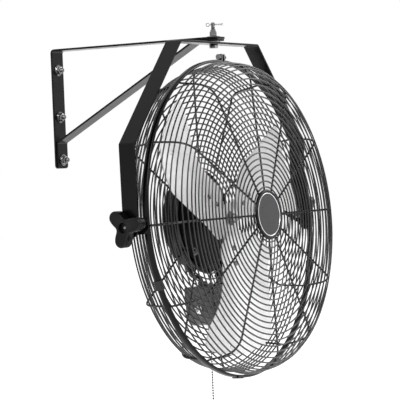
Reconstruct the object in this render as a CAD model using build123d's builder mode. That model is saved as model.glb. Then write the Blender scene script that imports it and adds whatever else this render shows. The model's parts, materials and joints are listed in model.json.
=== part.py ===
from build123d import *
import os
from math import cos, hypot, pi, radians, sin, sqrt

# Wall mounted fan, in millimetres. The origin is the middle wall screw's centre on the back face of the
# wall strap. +Y points into the wall, +Z is up, and the fan faces -Y from the end of its arm.

# --- Wall bracket: flat steel bar ---------------------------------------------------------------------
bar_width = 29.0
bar_thick = 3.5
bar_bend = 3.5  # inside radius of every cold bend
bar_corner = 6.0  # corner radius of the bar's free ends
arm_top = 120.0  # arm's upper face above the middle wall screw
arm_length = 343.0
upper_screw_z = 83.0
lower_screw_z = -76.0
strap_end_z = -91.0
swivel_y = 15.0 - arm_length  # the vertical pivot bolt that carries the yoke
brace_low_z = -44.0  # where the brace leaves the wall strap
brace_high_y = 47.0 - arm_length  # where the brace reaches the arm

# --- Fasteners of the bracket ---------------------------------------------------------------------------
screw_radius = 4.0
screw_reach = 45.0  # thread length behind the strap
screw_head = 13.0  # across flats
screw_head_height = 5.5
screw_washer_radius = 10.0
washer_thick = 1.6
hole_gap = 0.5  # clearance round a screw that clamps
bolt_radius = 5.0
bolt_head = 17.0
bolt_head_height = 6.5
bolt_tail = 26.0  # bolt's end above the arm
bolt_washer_radius = 11.0
bolt_washer_thick = 2.0
nut_height = 8.0
pin_radius = 1.2

# --- Main sizes of the head ------------------------------------------------------------------------------
ring_radius = 268.0
motor_radius = 79.0

# --- Yoke: one bent flat bar ----------------------------------------------------------------------------
yoke_shoulder_x = 126.0
yoke_elbow_x = ring_radius + 10.0
yoke_elbow_drop = ring_radius - 100.0  # shoulder to elbow
yoke_leg_x = ring_radius + 7.5  # outer face of each leg at the tilt axis
yoke_leg_straight = 24.0  # upright stretch above the tilt axis
yoke_leg_end = 17.0  # leg below the tilt axis
fibre_washer = 1.2
swivel_gap = 0.05  # running clearance round the pivot bolt and the tilt studs

# --- Head -----------------------------------------------------------------------------------------------
tilt_z = arm_top - 40.0 - ring_radius  # height of the tilt axis through the two hand knobs
rest_tilt = 4.0  # the head looks up by this angle at rest
ring_forward = 25.0  # ring's mid plane in front of the tilt axis
ring_width = 10.0
ring_wall = 1.4
ring_lip = 4.5
ring_split = 4.0
clamp_turn = -2.5  # the band's split stands this far from its top
clamp_screw_radius = 2.5
lug_height = 10.0
lug_thick = 3.0
clip_wall = 1.2
clip_arc = 3.5
clip_angles = (-159.0, -98.0, -74.0, -21.0)

wire = 2.6  # square stand for a 2.6 mm round wire
rim_wire = 3.4
spoke_count = 12
hoop_sides = 16  # face hoops; the rims have two sides to each spoke
front_badge_radius = 42.0
front_badge_depth = 96.0  # badge face in front of the tilt axis
badge_thick = 4.0
front_corner_radius = ring_radius - 17.0
front_corner_depth = 86.0
rear_plate_radius = motor_radius + 5.0
rear_plate_depth = -34.0
rear_corner_radius = ring_radius - 14.0
rear_corner_depth = -27.0
corner_bend = 16.0
weld = 0.4  # how far welded wires bite into each other
face_gap = 0.25  # face hoops under their spokes
hoop_pitch = 27.0

# --- Motor ----------------------------------------------------------------------------------------------
motor_front_depth = -27.0
motor_back_depth = -76.0
motor_wall = 3.0
rim_wall = 14.0  # the covers' rims are thick enough to take the long screws
plate_thick = 2.0
shaft_radius = 6.0
bearing_radius = 16.0
bearing_width = 10.0
bearing_fit = 0.03  # running clearance round the shaft
core_radius = 0.43 * motor_radius
core_length = 20.0
air_gap = 0.5
stator_radius = 0.76 * motor_radius
motor_stud_circle = motor_radius - 9.0
motor_stud_radius = 2.5
motor_stud_reach = 18.0
vent_circle = 40.0
vent_count = 8
vent_length = 26.0
vent_width = 5.0

# --- Rotor ----------------------------------------------------------------------------------------------
blade_count = 3
blade_tip = ring_radius - 39.0
blade_root = 28.0
blade_chord = 250.0  # the section arc, which the outline then cuts
blade_pitch = 14.8
blade_sheet = 1.6
blade_mid_depth = 19.4
blade_first_angle = 30.0
blade_camber = 15.6
blade_corner = 10.0
blade_outline = (
    (blade_root, -22.0),
    (40.0, -43.0),
    (0.415 * blade_tip, -46.0),
    (0.575 * blade_tip, -66.0),
    (0.82 * blade_tip, -0.533 * blade_tip),
    (0.943 * blade_tip, -0.332 * blade_tip),
    (0.996 * blade_tip, -0.08 * blade_tip),
    (0.987 * blade_tip, 0.096 * blade_tip),
    (0.91 * blade_tip, 62.0),
    (46.0, 66.0),
    (blade_root, 42.0),
)
hub_radius = 20.0
spider_radius = 27.0
spider_thick = 2.5
arm_width = 44.0
arm_reach = 92.0
blade_screw_reaches = (50.0, 76.0)
arm_root = 21.0
blade_screw = 2.5
blade_screw_head = 4.5
blade_screw_head_height = 2.6

# --- Hand knobs -----------------------------------------------------------------------------------------
stud_radius = 4.0
ear_thick = 2.5
ear_width = 26.0
rivet_radius = 2.0
rivet_up = 8.0
neck_width = 8.2
stud_head = 9.0
stud_head_height = 4.0
knob_reach = 30.0  # centre to the end of a lobe
knob_lobe = 10.5
knob_thick = 20.0
knob_core = 14.0
knob_recess = 7.0
knob_rest_turn = 10.0
insert_radius = 7.5
insert_length = 10.0

# --- Switch box, hung behind the rear grille below the motor --------------------------------------------
box_width = 58.0
box_depth = 56.0
box_height = 68.0
box_wall = 2.2
box_round = 22.0
box_corner = 4.0
box_x = 34.0
box_top_drop = motor_radius + 31.0  # box's top below the fan's axis
box_front_depth = -34.6
cover_thick = 2.0
cover_screw_radius = 1.5
boss_size = 8.0
boss_length = 12.0
boss_across = 23.4
boss_heights = (-box_top_drop - 7.0, -box_top_drop - 40.0)
gland_up = -box_top_drop - 40.0
gland_bush = 5.0
bracket_x = 38.0
bracket_width = 22.0
bracket_thick = 2.0
bracket_top = -motor_radius - 7.0
bracket_screw_radius = 2.0
tongue_end = -motor_radius - 23.0
tongue_root = 14.0 - motor_radius
tongue_screws = ((bracket_x - 7.0, tongue_end + 7.0), (bracket_x + 7.0, tongue_end + 7.0))
bracket_screw_depth = -56.0
bracket_reach_depth = -66.0
barrel_radius = 5.0
barrel_reach = 8.0
floor_gap = 0.3  # keeps the switch clear of the box's rounded floor
bell_bore = 3.6
bore_depth = 10.0  # the chain's blind bore above the box's bottom
capacitor_up = -box_top_drop - 28.0
terminal_up = -box_top_drop - 14.0
lead_radius = 3.5
lead_depth = -58.0
lead_end_x = 14.0
lead_start_angle = 255.0  # where the lead leaves the motor's rim
lead_start_radius = motor_radius - 1.3
lead_run = 18.0  # straight stretch at each end of the lead
gland_length = 8.0

chain_radius = 1.6
chain_length = 190.0
bell_length = 17.0
bell_radius = 5.5

# --- Working planes and axes ----------------------------------------------------------------------------
tilt = radians(rest_tilt)
head = Plane(origin=(0, swivel_y, tilt_z), x_dir=(1, 0, 0), z_dir=(0, -cos(tilt), sin(tilt)))
head_profile = Plane(origin=head.origin, x_dir=head.y_dir, z_dir=head.x_dir)  # x is radius, y is depth
head_axis = Axis(head.origin, head.z_dir)
clamp_way = radians(clamp_turn)
clamp_out = head.y_dir * cos(clamp_way) - head.x_dir * sin(clamp_way)
clamp_profile = Plane(origin=head.origin, x_dir=clamp_out, z_dir=clamp_out.cross(head.z_dir))
side_view = Plane(origin=(0, 0, 0), x_dir=(0, 1, 0), z_dir=(1, 0, 0))  # x is Y, y is Z

os.makedirs("parts", exist_ok=True)


def save(piece, label):
    """Name a finished piece and write its STEP file."""
    piece.part.label = label
    export_step(piece.part, f"parts/{label}.step")


# =========================================================================================================
# Wall bracket
# =========================================================================================================
arm_bottom = arm_top - bar_thick
foot_bottom = arm_bottom - bar_thick
screw_heights = [upper_screw_z, 0.0, lower_screw_z]

with BuildPart() as wall_strap:
    with BuildSketch(side_view) as strap_side:
        with BuildLine():
            FilletPolyline(
                (0, strap_end_z), (0, arm_top), (-arm_length, arm_top), radius=bar_bend + bar_thick
            )
            offset(amount=bar_thick, side=Side.LEFT)
        make_face()
    extrude(amount=bar_width / 2, both=True)
    free_ends = wall_strap.edges().filter_by(Axis.Y).group_by(Axis.Z)[0]
    tip_edges = wall_strap.edges().filter_by(Axis.Z).group_by(Axis.Y)[0]
    fillet(free_ends + tip_edges, radius=bar_corner)
    with Locations(*[Plane((0, 0, z), z_dir=(0, 1, 0)) for z in screw_heights]):
        Hole(radius=screw_radius + hole_gap)
    with Locations((0, swivel_y, arm_top)):
        Hole(radius=bolt_radius + hole_gap)
save(wall_strap, "wall_strap")


# The brace runs from a foot on the strap up to a foot under the arm.
with BuildPart() as diagonal_brace:
    with BuildSketch(side_view):
        with BuildLine():
            FilletPolyline(
                (-bar_thick, strap_end_z),
                (-bar_thick, brace_low_z),
                (brace_high_y, arm_bottom),
                (-arm_length, arm_bottom),
                radius=2 * bar_bend,
            )
            offset(amount=bar_thick, side=Side.LEFT)
        make_face()
    extrude(amount=bar_width / 2, both=True)
    lower_ends = diagonal_brace.edges().filter_by(Axis.Y).group_by(Axis.Z)[0]
    upper_ends = diagonal_brace.edges().filter_by(Axis.Z).group_by(Axis.Y)[0]
    fillet(lower_ends + upper_ends, radius=bar_corner)
    with Locations(Plane((0, 0, lower_screw_z), z_dir=(0, 1, 0))):
        Hole(radius=screw_radius + hole_gap)
    with Locations((0, swivel_y, arm_bottom)):
        Hole(radius=bolt_radius + hole_gap)
save(diagonal_brace, "diagonal_brace")

# Each screw stands on its washer; the lowest one also clamps the brace's foot.
clamped = [bar_thick, bar_thick, 2 * bar_thick]

with BuildPart() as wall_washers:
    for height, stack in zip(screw_heights, clamped):
        with BuildSketch(Plane((0, -stack, height), z_dir=(0, -1, 0))):
            RegularPolygon(radius=screw_washer_radius, side_count=16)
            RegularPolygon(radius=screw_radius + hole_gap, side_count=10, mode=Mode.SUBTRACT)
        extrude(amount=washer_thick)
save(wall_washers, "wall_washers")

with BuildPart() as wall_screws:
    for height, stack in zip(screw_heights, clamped):
        seat = stack + washer_thick
        with BuildSketch(Plane((0, -seat, height), z_dir=(0, -1, 0))):
            RegularPolygon(radius=screw_head / 2, side_count=6, major_radius=False)
        extrude(amount=screw_head_height)
        with BuildSketch(Plane((0, -seat, height), z_dir=(0, 1, 0))):
            RegularPolygon(radius=screw_radius + 0.2, side_count=10)
        extrude(amount=seat)
        with BuildSketch(Plane((0, 0, height), z_dir=(0, 1, 0))):
            Circle(screw_radius)
        extrude(amount=screw_reach)
save(wall_screws, "wall_screws")

# The pivot bolt comes up through the yoke, a washer, the brace's foot and the arm.
yoke_top = foot_bottom - bolt_washer_thick
yoke_under = yoke_top - bar_thick
nut_seat = arm_top + bolt_washer_thick
pin_hole = Plane((0, swivel_y, nut_seat + nut_height + 5.0), x_dir=(0, 1, 0), z_dir=(1, 0, 0))

with BuildPart() as pivot_washers:
    for height in (foot_bottom - bolt_washer_thick, arm_top):
        with BuildSketch(Plane((0, swivel_y, height))):
            RegularPolygon(radius=bolt_washer_radius, side_count=16)
            RegularPolygon(radius=bolt_radius + hole_gap, side_count=10, mode=Mode.SUBTRACT)
        extrude(amount=bolt_washer_thick)
save(pivot_washers, "pivot_washers")

with BuildPart() as pivot_bolt:
    with BuildSketch(Plane((0, swivel_y, yoke_under))):
        RegularPolygon(radius=bolt_head / 2, side_count=6, major_radius=False)
    extrude(amount=-bolt_head_height)
    with BuildSketch(Plane((0, swivel_y, yoke_under))):
        Circle(bolt_radius)
    extrude(amount=arm_top + bolt_tail - yoke_under)
    with BuildSketch(pin_hole):
        RegularPolygon(radius=pin_radius + 0.3, side_count=6)
    extrude(amount=bolt_head, both=True, mode=Mode.SUBTRACT)
save(pivot_bolt, "pivot_bolt")

with BuildPart() as pivot_nut:
    with BuildSketch(Plane((0, swivel_y, nut_seat))):
        RegularPolygon(radius=bolt_head / 2, side_count=6, major_radius=False)
        Circle(bolt_radius + swivel_gap, mode=Mode.SUBTRACT)
    extrude(amount=nut_height)
save(pivot_nut, "pivot_nut")

# A split pin: its eye stands on one side of the bolt and its two legs are spread on the other.
pin_eye = 3.0
pin_reach = bolt_radius + 4.0
with BuildPart() as split_pin:
    with BuildSketch(pin_hole):
        RegularPolygon(radius=pin_radius, side_count=6)
    extrude(amount=pin_reach, both=True)
    with BuildSketch(Plane(pin_hole.origin - Vector(pin_reach + pin_eye, 0, 0), z_dir=(0, 1, 0))):
        RegularPolygon(radius=pin_eye + pin_radius, side_count=12)
        RegularPolygon(radius=pin_eye - pin_radius, side_count=12, mode=Mode.SUBTRACT)
    extrude(amount=pin_radius, both=True)
save(split_pin, "split_pin")

# =========================================================================================================
# Yoke
# =========================================================================================================
shoulder_z = yoke_top
elbow_z = yoke_top - yoke_elbow_drop
leg_end_z = tilt_z - yoke_leg_end
leg_inner = yoke_leg_x - bar_thick
front_view = Plane(origin=(0, swivel_y, 0), x_dir=(1, 0, 0), z_dir=(0, -1, 0))  # x is X, y is Z

with BuildPart() as yoke:
    with BuildSketch(front_view):
        with BuildLine():
            FilletPolyline(
                (-yoke_leg_x, leg_end_z),
                (-yoke_leg_x, tilt_z + yoke_leg_straight),
                (-yoke_elbow_x, elbow_z),
                (-yoke_shoulder_x, shoulder_z),
                (yoke_shoulder_x, shoulder_z),
                (yoke_elbow_x, elbow_z),
                (yoke_leg_x, tilt_z + yoke_leg_straight),
                (yoke_leg_x, leg_end_z),
                radius=bar_bend + bar_thick,
            )
            offset(amount=bar_thick, side=Side.RIGHT)
        make_face()
    extrude(amount=bar_width / 2, both=True)
    leg_ends = yoke.edges().filter_by(Axis.X).group_by(Axis.Z)[0]
    fillet(leg_ends, radius=bar_width / 2 - 0.5)
    with Locations((0, swivel_y, yoke_top)):
        Hole(radius=bolt_radius + swivel_gap)
    with Locations(Plane((0, swivel_y, tilt_z), z_dir=(1, 0, 0))):
        Hole(radius=stud_radius + swivel_gap)
save(yoke, "yoke")

# =========================================================================================================
# Cage
# =========================================================================================================
ring_back = ring_forward - ring_width / 2
ring_front = ring_forward + ring_width / 2
rim_outer = ring_radius - ring_wall - 0.3
rim_inner = rim_outer - rim_wire
front_rim_depth = ring_forward + 0.1
rear_rim_depth = ring_forward - 0.1 - rim_wire

with BuildPart() as clamp_ring:
    with BuildSketch(head_profile):
        with Locations((ring_radius - ring_lip / 2, ring_forward)):
            Rectangle(ring_lip, ring_width)
        with Locations((ring_radius - ring_wall - ring_lip / 2, ring_forward)):
            Rectangle(ring_lip, ring_width - 2 * ring_wall, mode=Mode.SUBTRACT)
    revolve(axis=head_axis)
    with BuildSketch(clamp_profile):
        with Locations((ring_radius, ring_forward)):
            Rectangle(4 * ring_lip, 2 * ring_width)
    extrude(amount=ring_split / 2, both=True, mode=Mode.SUBTRACT)
save(clamp_ring, "clamp_ring")

# The band is split near its top; a screw through two lugs draws it tight round both grilles' rims.
lug_middle = ring_radius + 0.1 + lug_height / 2
with BuildPart() as ring_lugs:
    for way in (-1, 1):
        with BuildSketch(clamp_profile.offset(way * (ring_split / 2 + 0.5))):
            with Locations((lug_middle, ring_forward)):
                Rectangle(lug_height, ring_width)
                RegularPolygon(radius=clamp_screw_radius + 0.2, side_count=6, mode=Mode.SUBTRACT)
        extrude(amount=way * lug_thick)
save(ring_lugs, "ring_lugs")

lug_outer = ring_split / 2 + 0.5 + lug_thick
with BuildPart() as clamp_screw:
    with BuildSketch(clamp_profile.offset(-lug_outer)):
        with Locations((lug_middle, ring_forward)):
            RegularPolygon(radius=2 * clamp_screw_radius, side_count=6)
    extrude(amount=-4.0)
    with BuildSketch(clamp_profile.offset(-lug_outer)):
        with Locations((lug_middle, ring_forward)):
            RegularPolygon(radius=clamp_screw_radius, side_count=6)
    extrude(amount=2 * lug_outer + 9.0)
save(clamp_screw, "clamp_screw")

with BuildPart() as clamp_nut:
    with BuildSketch(clamp_profile.offset(lug_outer)):
        with Locations((lug_middle, ring_forward)):
            RegularPolygon(radius=2 * clamp_screw_radius, side_count=6)
            RegularPolygon(radius=clamp_screw_radius, side_count=6, mode=Mode.SUBTRACT)
    extrude(amount=4.0)
save(clamp_nut, "clamp_nut")

# Four spring clips straddle the band and keep the front grille in place.
with BuildPart() as clip_blank:
    with BuildSketch(head_profile):
        with Locations((ring_radius + 0.1 + (clip_wall - ring_lip) / 2, ring_forward)):
            Rectangle(ring_lip + clip_wall, ring_width + 0.2 + 2 * clip_wall)
        with Locations((ring_radius + 0.1 - ring_lip / 2, ring_forward)):
            Rectangle(ring_lip, ring_width + 0.2, mode=Mode.SUBTRACT)
    revolve(axis=head_axis, revolution_arc=clip_arc)

with BuildPart() as ring_clips:
    for angle in clip_angles:
        add(clip_blank.part.rotate(head_axis, angle - 90.0 - clip_arc / 2))
save(ring_clips, "ring_clips")


def along(start, end, distance):
    """The point at this distance from start on the straight way to end."""
    share = distance / hypot(end[0] - start[0], end[1] - start[1])
    return tuple(a + (b - a) * share for a, b in zip(start, end))


def spoke(start, corner, end, inner_side):
    """One bent wire of the cage, square in section, lying in the plane through the fan's axis."""
    before, after = along(corner, start, corner_bend), along(corner, end, corner_bend)
    with BuildPart(mode=Mode.PRIVATE) as bar:
        with BuildSketch(head_profile):
            with BuildLine():
                Polyline(start, before, after, end)
                offset(amount=wire, side=inner_side)
            make_face()
        extrude(amount=wire / 2, both=True)
    return bar.part


front_start = (front_badge_radius - 8.0, front_badge_depth - badge_thick)
front_corner = (front_corner_radius, front_corner_depth)
front_end = (rim_inner + weld, front_rim_depth + rim_wire / 2)
rear_start = (motor_radius + 1.5, rear_plate_depth)
rear_corner = (rear_corner_radius, rear_corner_depth)
rear_end = (rim_inner + weld, rear_rim_depth + rim_wire / 2)

front_spoke = spoke(front_start, front_corner, front_end, Side.RIGHT)
rear_spoke = spoke(rear_start, rear_corner, rear_end, Side.LEFT)


def face_hoops(start, corner):
    """Where the hoops of a cage face lie on its spokes, pitched out from the middle."""
    flat = hypot(corner[0] - start[0], corner[1] - start[1]) - corner_bend
    return [along(start, corner, hoop_pitch * (k + 1)) for k in range(int(flat / hoop_pitch))]


front_hoop_seats = face_hoops(front_start, front_corner)
rear_hoop_seats = face_hoops(rear_start, rear_corner)
front_side_radius, front_side_depth = along(front_corner, front_end, corner_bend + 4.0)
rear_side_radius, rear_side_depth = along(rear_corner, rear_end, corner_bend)

with BuildPart() as front_grille:
    with BuildSketch(head.offset(front_side_depth)):
        RegularPolygon(radius=front_side_radius - wire + weld, side_count=2 * spoke_count)
        RegularPolygon(radius=front_side_radius - 2 * wire, side_count=2 * spoke_count, mode=Mode.SUBTRACT)
    extrude(amount=wire)
    with BuildSketch(head.offset(front_rim_depth)):
        RegularPolygon(radius=rim_outer, side_count=2 * spoke_count)
        RegularPolygon(radius=rim_inner, side_count=2 * spoke_count, mode=Mode.SUBTRACT)
    extrude(amount=rim_wire)
    for turn in range(spoke_count):
        add(front_spoke.rotate(head_axis, turn * 360 / spoke_count))
save(front_grille, "front_grille")

with BuildPart() as rear_grille:
    with BuildSketch(head.offset(rear_side_depth)):
        RegularPolygon(radius=rear_side_radius - wire + weld, side_count=2 * spoke_count)
        RegularPolygon(radius=rear_side_radius - 2 * wire, side_count=2 * spoke_count, mode=Mode.SUBTRACT)
    extrude(amount=wire)
    with BuildSketch(head.offset(rear_rim_depth)):
        RegularPolygon(radius=rim_outer, side_count=2 * spoke_count)
        RegularPolygon(radius=rim_inner, side_count=2 * spoke_count, mode=Mode.SUBTRACT)
    extrude(amount=rim_wire)
    for turn in range(spoke_count):
        add(rear_spoke.rotate(head_axis, turn * 360 / spoke_count))
save(rear_grille, "rear_grille")

# The face hoops lie in front of the spokes, and clear of the switch box on the rear grille's inner side.
with BuildPart() as front_hoops:
    for radius, depth in front_hoop_seats:
        with BuildSketch(head.offset(depth + face_gap)):
            RegularPolygon(radius=radius, side_count=hoop_sides)
            RegularPolygon(radius=radius - wire, side_count=hoop_sides, mode=Mode.SUBTRACT)
        extrude(amount=wire)
save(front_hoops, "front_hoops")

with BuildPart() as rear_hoops:
    for radius, depth in rear_hoop_seats:
        with BuildSketch(head.offset(depth + wire + face_gap)):
            RegularPolygon(radius=radius, side_count=hoop_sides)
            RegularPolygon(radius=radius - wire, side_count=hoop_sides, mode=Mode.SUBTRACT)
        extrude(amount=wire)
save(rear_hoops, "rear_hoops")

# The badge is a plain pressed disc with a turned rim, held on the front spokes' inner ends.
with BuildPart() as centre_badge:
    with BuildSketch(head_profile):
        with BuildLine():
            Polyline(
                (0, front_badge_depth - 2.0),
                (front_badge_radius - 7.0, front_badge_depth - 2.0),
                (front_badge_radius - 5.0, front_badge_depth),
                (front_badge_radius - 2.0, front_badge_depth),
                (front_badge_radius, front_badge_depth - 2.0),
                (front_badge_radius, front_badge_depth - badge_thick),
                (0, front_badge_depth - badge_thick),
                close=True,
            )
        make_face()
    revolve(axis=head_axis)
save(centre_badge, "centre_badge")

# =========================================================================================================
# Motor: a flat can in two halves, clamped on the plate in the middle of the rear grille
# =========================================================================================================
with BuildPart() as motor_plate:
    with BuildSketch(head.offset(rear_plate_depth - plate_thick)):
        Circle(rear_plate_radius + 4.0)
        Circle(stator_radius + 1.0, mode=Mode.SUBTRACT)
        with PolarLocations(motor_stud_circle, 4, start_angle=45):
            RegularPolygon(radius=motor_stud_radius + 0.3, side_count=6, mode=Mode.SUBTRACT)
        with Locations((bracket_x, (tongue_end + tongue_root) / 2)):
            Rectangle(bracket_width + 4.0, tongue_root - tongue_end)
        with Locations(*tongue_screws):
            RegularPolygon(radius=bracket_screw_radius + 0.2, side_count=6, mode=Mode.SUBTRACT)
    extrude(amount=plate_thick)
save(motor_plate, "motor_plate")

shaft_hole = shaft_radius + 0.8
pocket_wall = 3.0
front_seat_depth = motor_front_depth - motor_wall  # outer race's front face
with BuildPart() as motor_front_cover:
    with BuildSketch(head_profile):
        with BuildLine():
            Polyline(
                (shaft_hole, motor_front_depth),
                (motor_radius - 6.0, motor_front_depth),
                (motor_radius, motor_front_depth - 4.0),
                (motor_radius, rear_plate_depth),
                (motor_radius - rim_wall, rear_plate_depth),
                (motor_radius - rim_wall, motor_front_depth - motor_wall),
                (bearing_radius + pocket_wall, motor_front_depth - motor_wall),
                (bearing_radius + pocket_wall, front_seat_depth - bearing_width),
                (bearing_radius, front_seat_depth - bearing_width),
                (bearing_radius, front_seat_depth),
                (shaft_hole, front_seat_depth),
                close=True,
            )
        make_face()
    revolve(axis=head_axis)
    with BuildSketch(head.offset(motor_front_depth)):
        with PolarLocations(motor_stud_circle, 4, start_angle=45):
            RegularPolygon(radius=motor_stud_radius + 0.3, side_count=6)
    extrude(amount=-20.0, mode=Mode.SUBTRACT)
save(motor_front_cover, "motor_front_cover")

back_face = motor_back_depth
back_seat_depth = back_face + motor_wall  # outer race's back face
plate_back = rear_plate_depth - plate_thick
with BuildPart() as motor_rear_cover:
    with BuildSketch(head_profile):
        with BuildLine():
            Polyline(
                (0, back_face),
                (motor_radius - 14.0, back_face),
                (motor_radius - 3.0, back_face + 9.0),
                (motor_radius, plate_back),
                (motor_radius - rim_wall, plate_back),
                (motor_radius - rim_wall - 4.0, back_face + motor_wall),
                (bearing_radius + pocket_wall, back_face + motor_wall),
                (bearing_radius + pocket_wall, back_seat_depth + bearing_width),
                (bearing_radius, back_seat_depth + bearing_width),
                (bearing_radius, back_seat_depth),
                (0, back_seat_depth),
                close=True,
            )
        make_face()
    revolve(axis=head_axis)
    with BuildSketch(head.offset(back_face)):
        with PolarLocations(vent_circle, vent_count):
            Rectangle(vent_length, vent_width)
    extrude(amount=motor_wall, mode=Mode.SUBTRACT)
    with BuildSketch(head.offset(plate_back)):
        with PolarLocations(motor_stud_circle, 4, start_angle=45):
            RegularPolygon(radius=motor_stud_radius + 0.1, side_count=6)
    extrude(amount=-motor_stud_reach, mode=Mode.SUBTRACT)
save(motor_rear_cover, "motor_rear_cover")

with BuildPart() as bearings:
    with BuildSketch(head.offset(front_seat_depth - bearing_width)):
        RegularPolygon(radius=bearing_radius, side_count=20)
        Circle(shaft_radius + bearing_fit, mode=Mode.SUBTRACT)
    extrude(amount=bearing_width)
    with BuildSketch(head.offset(back_seat_depth)):
        RegularPolygon(radius=bearing_radius, side_count=20)
        Circle(shaft_radius + bearing_fit, mode=Mode.SUBTRACT)
    extrude(amount=bearing_width)
save(bearings, "bearings")

# The laminated stator: a twelve-sided outline with the rotor's bore, and its two rings of windings.
core_mid_depth = (front_seat_depth + back_seat_depth) / 2
with BuildPart() as stator_core:
    with BuildSketch(head.offset(core_mid_depth - core_length / 2)):
        RegularPolygon(radius=stator_radius, side_count=12, rotation=15)
        Circle(core_radius + air_gap, mode=Mode.SUBTRACT)
    extrude(amount=core_length)
save(stator_core, "stator_core")

winding_inner = core_radius + 0.08 * motor_radius
winding_outer = stator_radius - 0.1 * motor_radius
winding_height = 7.0
with BuildPart() as stator_windings:
    for depth, way in ((core_mid_depth + core_length / 2, 1), (core_mid_depth - core_length / 2, -1)):
        with BuildSketch(head.offset(depth)):
            RegularPolygon(radius=winding_outer, side_count=16)
            RegularPolygon(radius=winding_inner, side_count=16, mode=Mode.SUBTRACT)
        extrude(amount=way * winding_height)
save(stator_windings, "stator_windings")

with BuildPart() as motor_screws:
    with BuildSketch(head.offset(motor_front_depth)):
        with PolarLocations(motor_stud_circle, 4, start_angle=45):
            RegularPolygon(radius=1.8 * motor_stud_radius, side_count=6)
    extrude(amount=2.5)
    with BuildSketch(head.offset(motor_front_depth)):
        with PolarLocations(motor_stud_circle, 4, start_angle=45):
            RegularPolygon(radius=motor_stud_radius, side_count=6)
    extrude(amount=-(motor_front_depth - plate_back + motor_stud_reach - 1.0))
save(motor_screws, "motor_screws")

# =========================================================================================================
# Rotor: shaft, squirrel-cage core, hub, spider and three cambered blades
# =========================================================================================================
pitch = radians(blade_pitch)
spider_front = blade_mid_depth
shaft_back = back_seat_depth + 0.5
shaft_front = spider_front + 12.0
with BuildPart() as shaft:
    with BuildSketch(head.offset(shaft_back)):
        Circle(shaft_radius)
    extrude(amount=shaft_front - shaft_back)
save(shaft, "shaft")

with BuildPart() as rotor_core:
    with BuildSketch(head.offset(core_mid_depth - core_length / 2)):
        RegularPolygon(radius=core_radius, side_count=32)
        Circle(shaft_radius, mode=Mode.SUBTRACT)
    extrude(amount=core_length)
save(rotor_core, "rotor_core")

hub_back = motor_front_depth + 6.0
with BuildPart() as blade_hub:
    with BuildSketch(head.offset(hub_back)):
        RegularPolygon(radius=hub_radius - 6.0, side_count=20)
        Circle(shaft_radius, mode=Mode.SUBTRACT)
    extrude(amount=spider_front - spider_thick - hub_back)
    with BuildSketch(head.offset(spider_front - spider_thick - 8.0)):
        RegularPolygon(radius=hub_radius, side_count=20)
        Circle(shaft_radius, mode=Mode.SUBTRACT)
    extrude(amount=8.0)
save(blade_hub, "blade_hub")

# A blade blank lies along the +X radius. Its section is an arc, pitched to the plane of rotation.
chord_way = Vector(cos(pitch), sin(pitch))
belly_way = Vector(sin(pitch), -cos(pitch))
camber_radius = (blade_chord**2 / 4 + blade_camber**2) / (2 * blade_camber)


def section_to_world(way):
    """A direction given in the blade's section plane, in the model's frame."""
    return head.y_dir * way.X + head.z_dir * way.Y


def camber_points(width):
    """Ends and middle of a strip of the blade's section arc."""
    rise = camber_radius - sqrt(camber_radius**2 - width**2 / 4)
    belly = Vector(0, blade_mid_depth)
    return (
        belly - belly_way * rise - chord_way * (width / 2),
        belly,
        belly - belly_way * rise + chord_way * (width / 2),
    )


# Two screws hold each blade on its arm, square to the blade at its middle line.
forward_way = section_to_world(belly_way * -1)
screw_seats = [
    Plane(head.from_local_coords((reach, 0, blade_mid_depth)), x_dir=head.x_dir, z_dir=forward_way)
    for reach in blade_screw_reaches
]

with BuildPart() as screw_holes:
    for seat in screw_seats:
        with BuildSketch(seat.offset(-2 * spider_thick)):
            RegularPolygon(radius=blade_screw + 0.2, side_count=6)
        extrude(amount=4 * spider_thick)

with BuildPart() as screw_blank:
    for seat in screw_seats:
        with BuildSketch(seat.offset(blade_sheet + 0.35)):
            RegularPolygon(radius=blade_screw_head, side_count=6)
        extrude(amount=blade_screw_head_height)
        with BuildSketch(seat.offset(blade_sheet + 0.35)):
            RegularPolygon(radius=blade_screw, side_count=6)
        extrude(amount=-(blade_sheet + spider_thick + blade_screw_head_height / 2))
        with BuildSketch(seat.offset(-spider_thick - 0.1)):
            RegularPolygon(radius=blade_screw_head, side_count=6)
        extrude(amount=-blade_screw_head_height)

with BuildPart() as blade_blank:
    with BuildSketch(head_profile.offset(blade_root)):
        with BuildLine():
            ThreePointArc(*camber_points(blade_chord))
            offset(amount=blade_sheet, side=Side.LEFT)
        make_face()
    extrude(amount=blade_tip - blade_root)
    with BuildSketch(head):
        with BuildLine():
            FilletPolyline(*blade_outline, radius=blade_corner)
            Line(blade_outline[-1], blade_outline[0])
        make_face()
    extrude(amount=ring_radius / 2, both=True, mode=Mode.INTERSECT)
    add(screw_holes.part, mode=Mode.SUBTRACT)
blade_angles = [blade_first_angle + 360 / blade_count * k for k in range(blade_count)]
for number, angle in enumerate(blade_angles, start=1):
    with BuildPart() as blade:
        add(blade_blank.part.rotate(head_axis, angle))
    save(blade, f"blade_{number}")

# Each spider arm is a flat strip, pitched like its blade and touching the middle of the blade's back.
with BuildPart() as arm_blank:
    with BuildSketch(head_profile.offset(arm_root)):
        with Locations(Location(Vector(0, blade_mid_depth) + belly_way * spider_thick / 2, (0, 0, blade_pitch))):
            Rectangle(arm_width, spider_thick)
    extrude(amount=arm_reach - arm_root)
    add(screw_holes.part, mode=Mode.SUBTRACT)

with BuildPart() as blade_spider:
    with BuildSketch(head.offset(spider_front - spider_thick)):
        RegularPolygon(radius=spider_radius, side_count=24)
        Circle(shaft_radius, mode=Mode.SUBTRACT)
    extrude(amount=spider_thick)
    for angle in blade_angles:
        add(arm_blank.part.rotate(head_axis, angle))
save(blade_spider, "blade_spider")

with BuildPart() as blade_screws:
    for angle in blade_angles:
        add(screw_blank.part.rotate(head_axis, angle))
save(blade_screws, "blade_screws")

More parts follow.
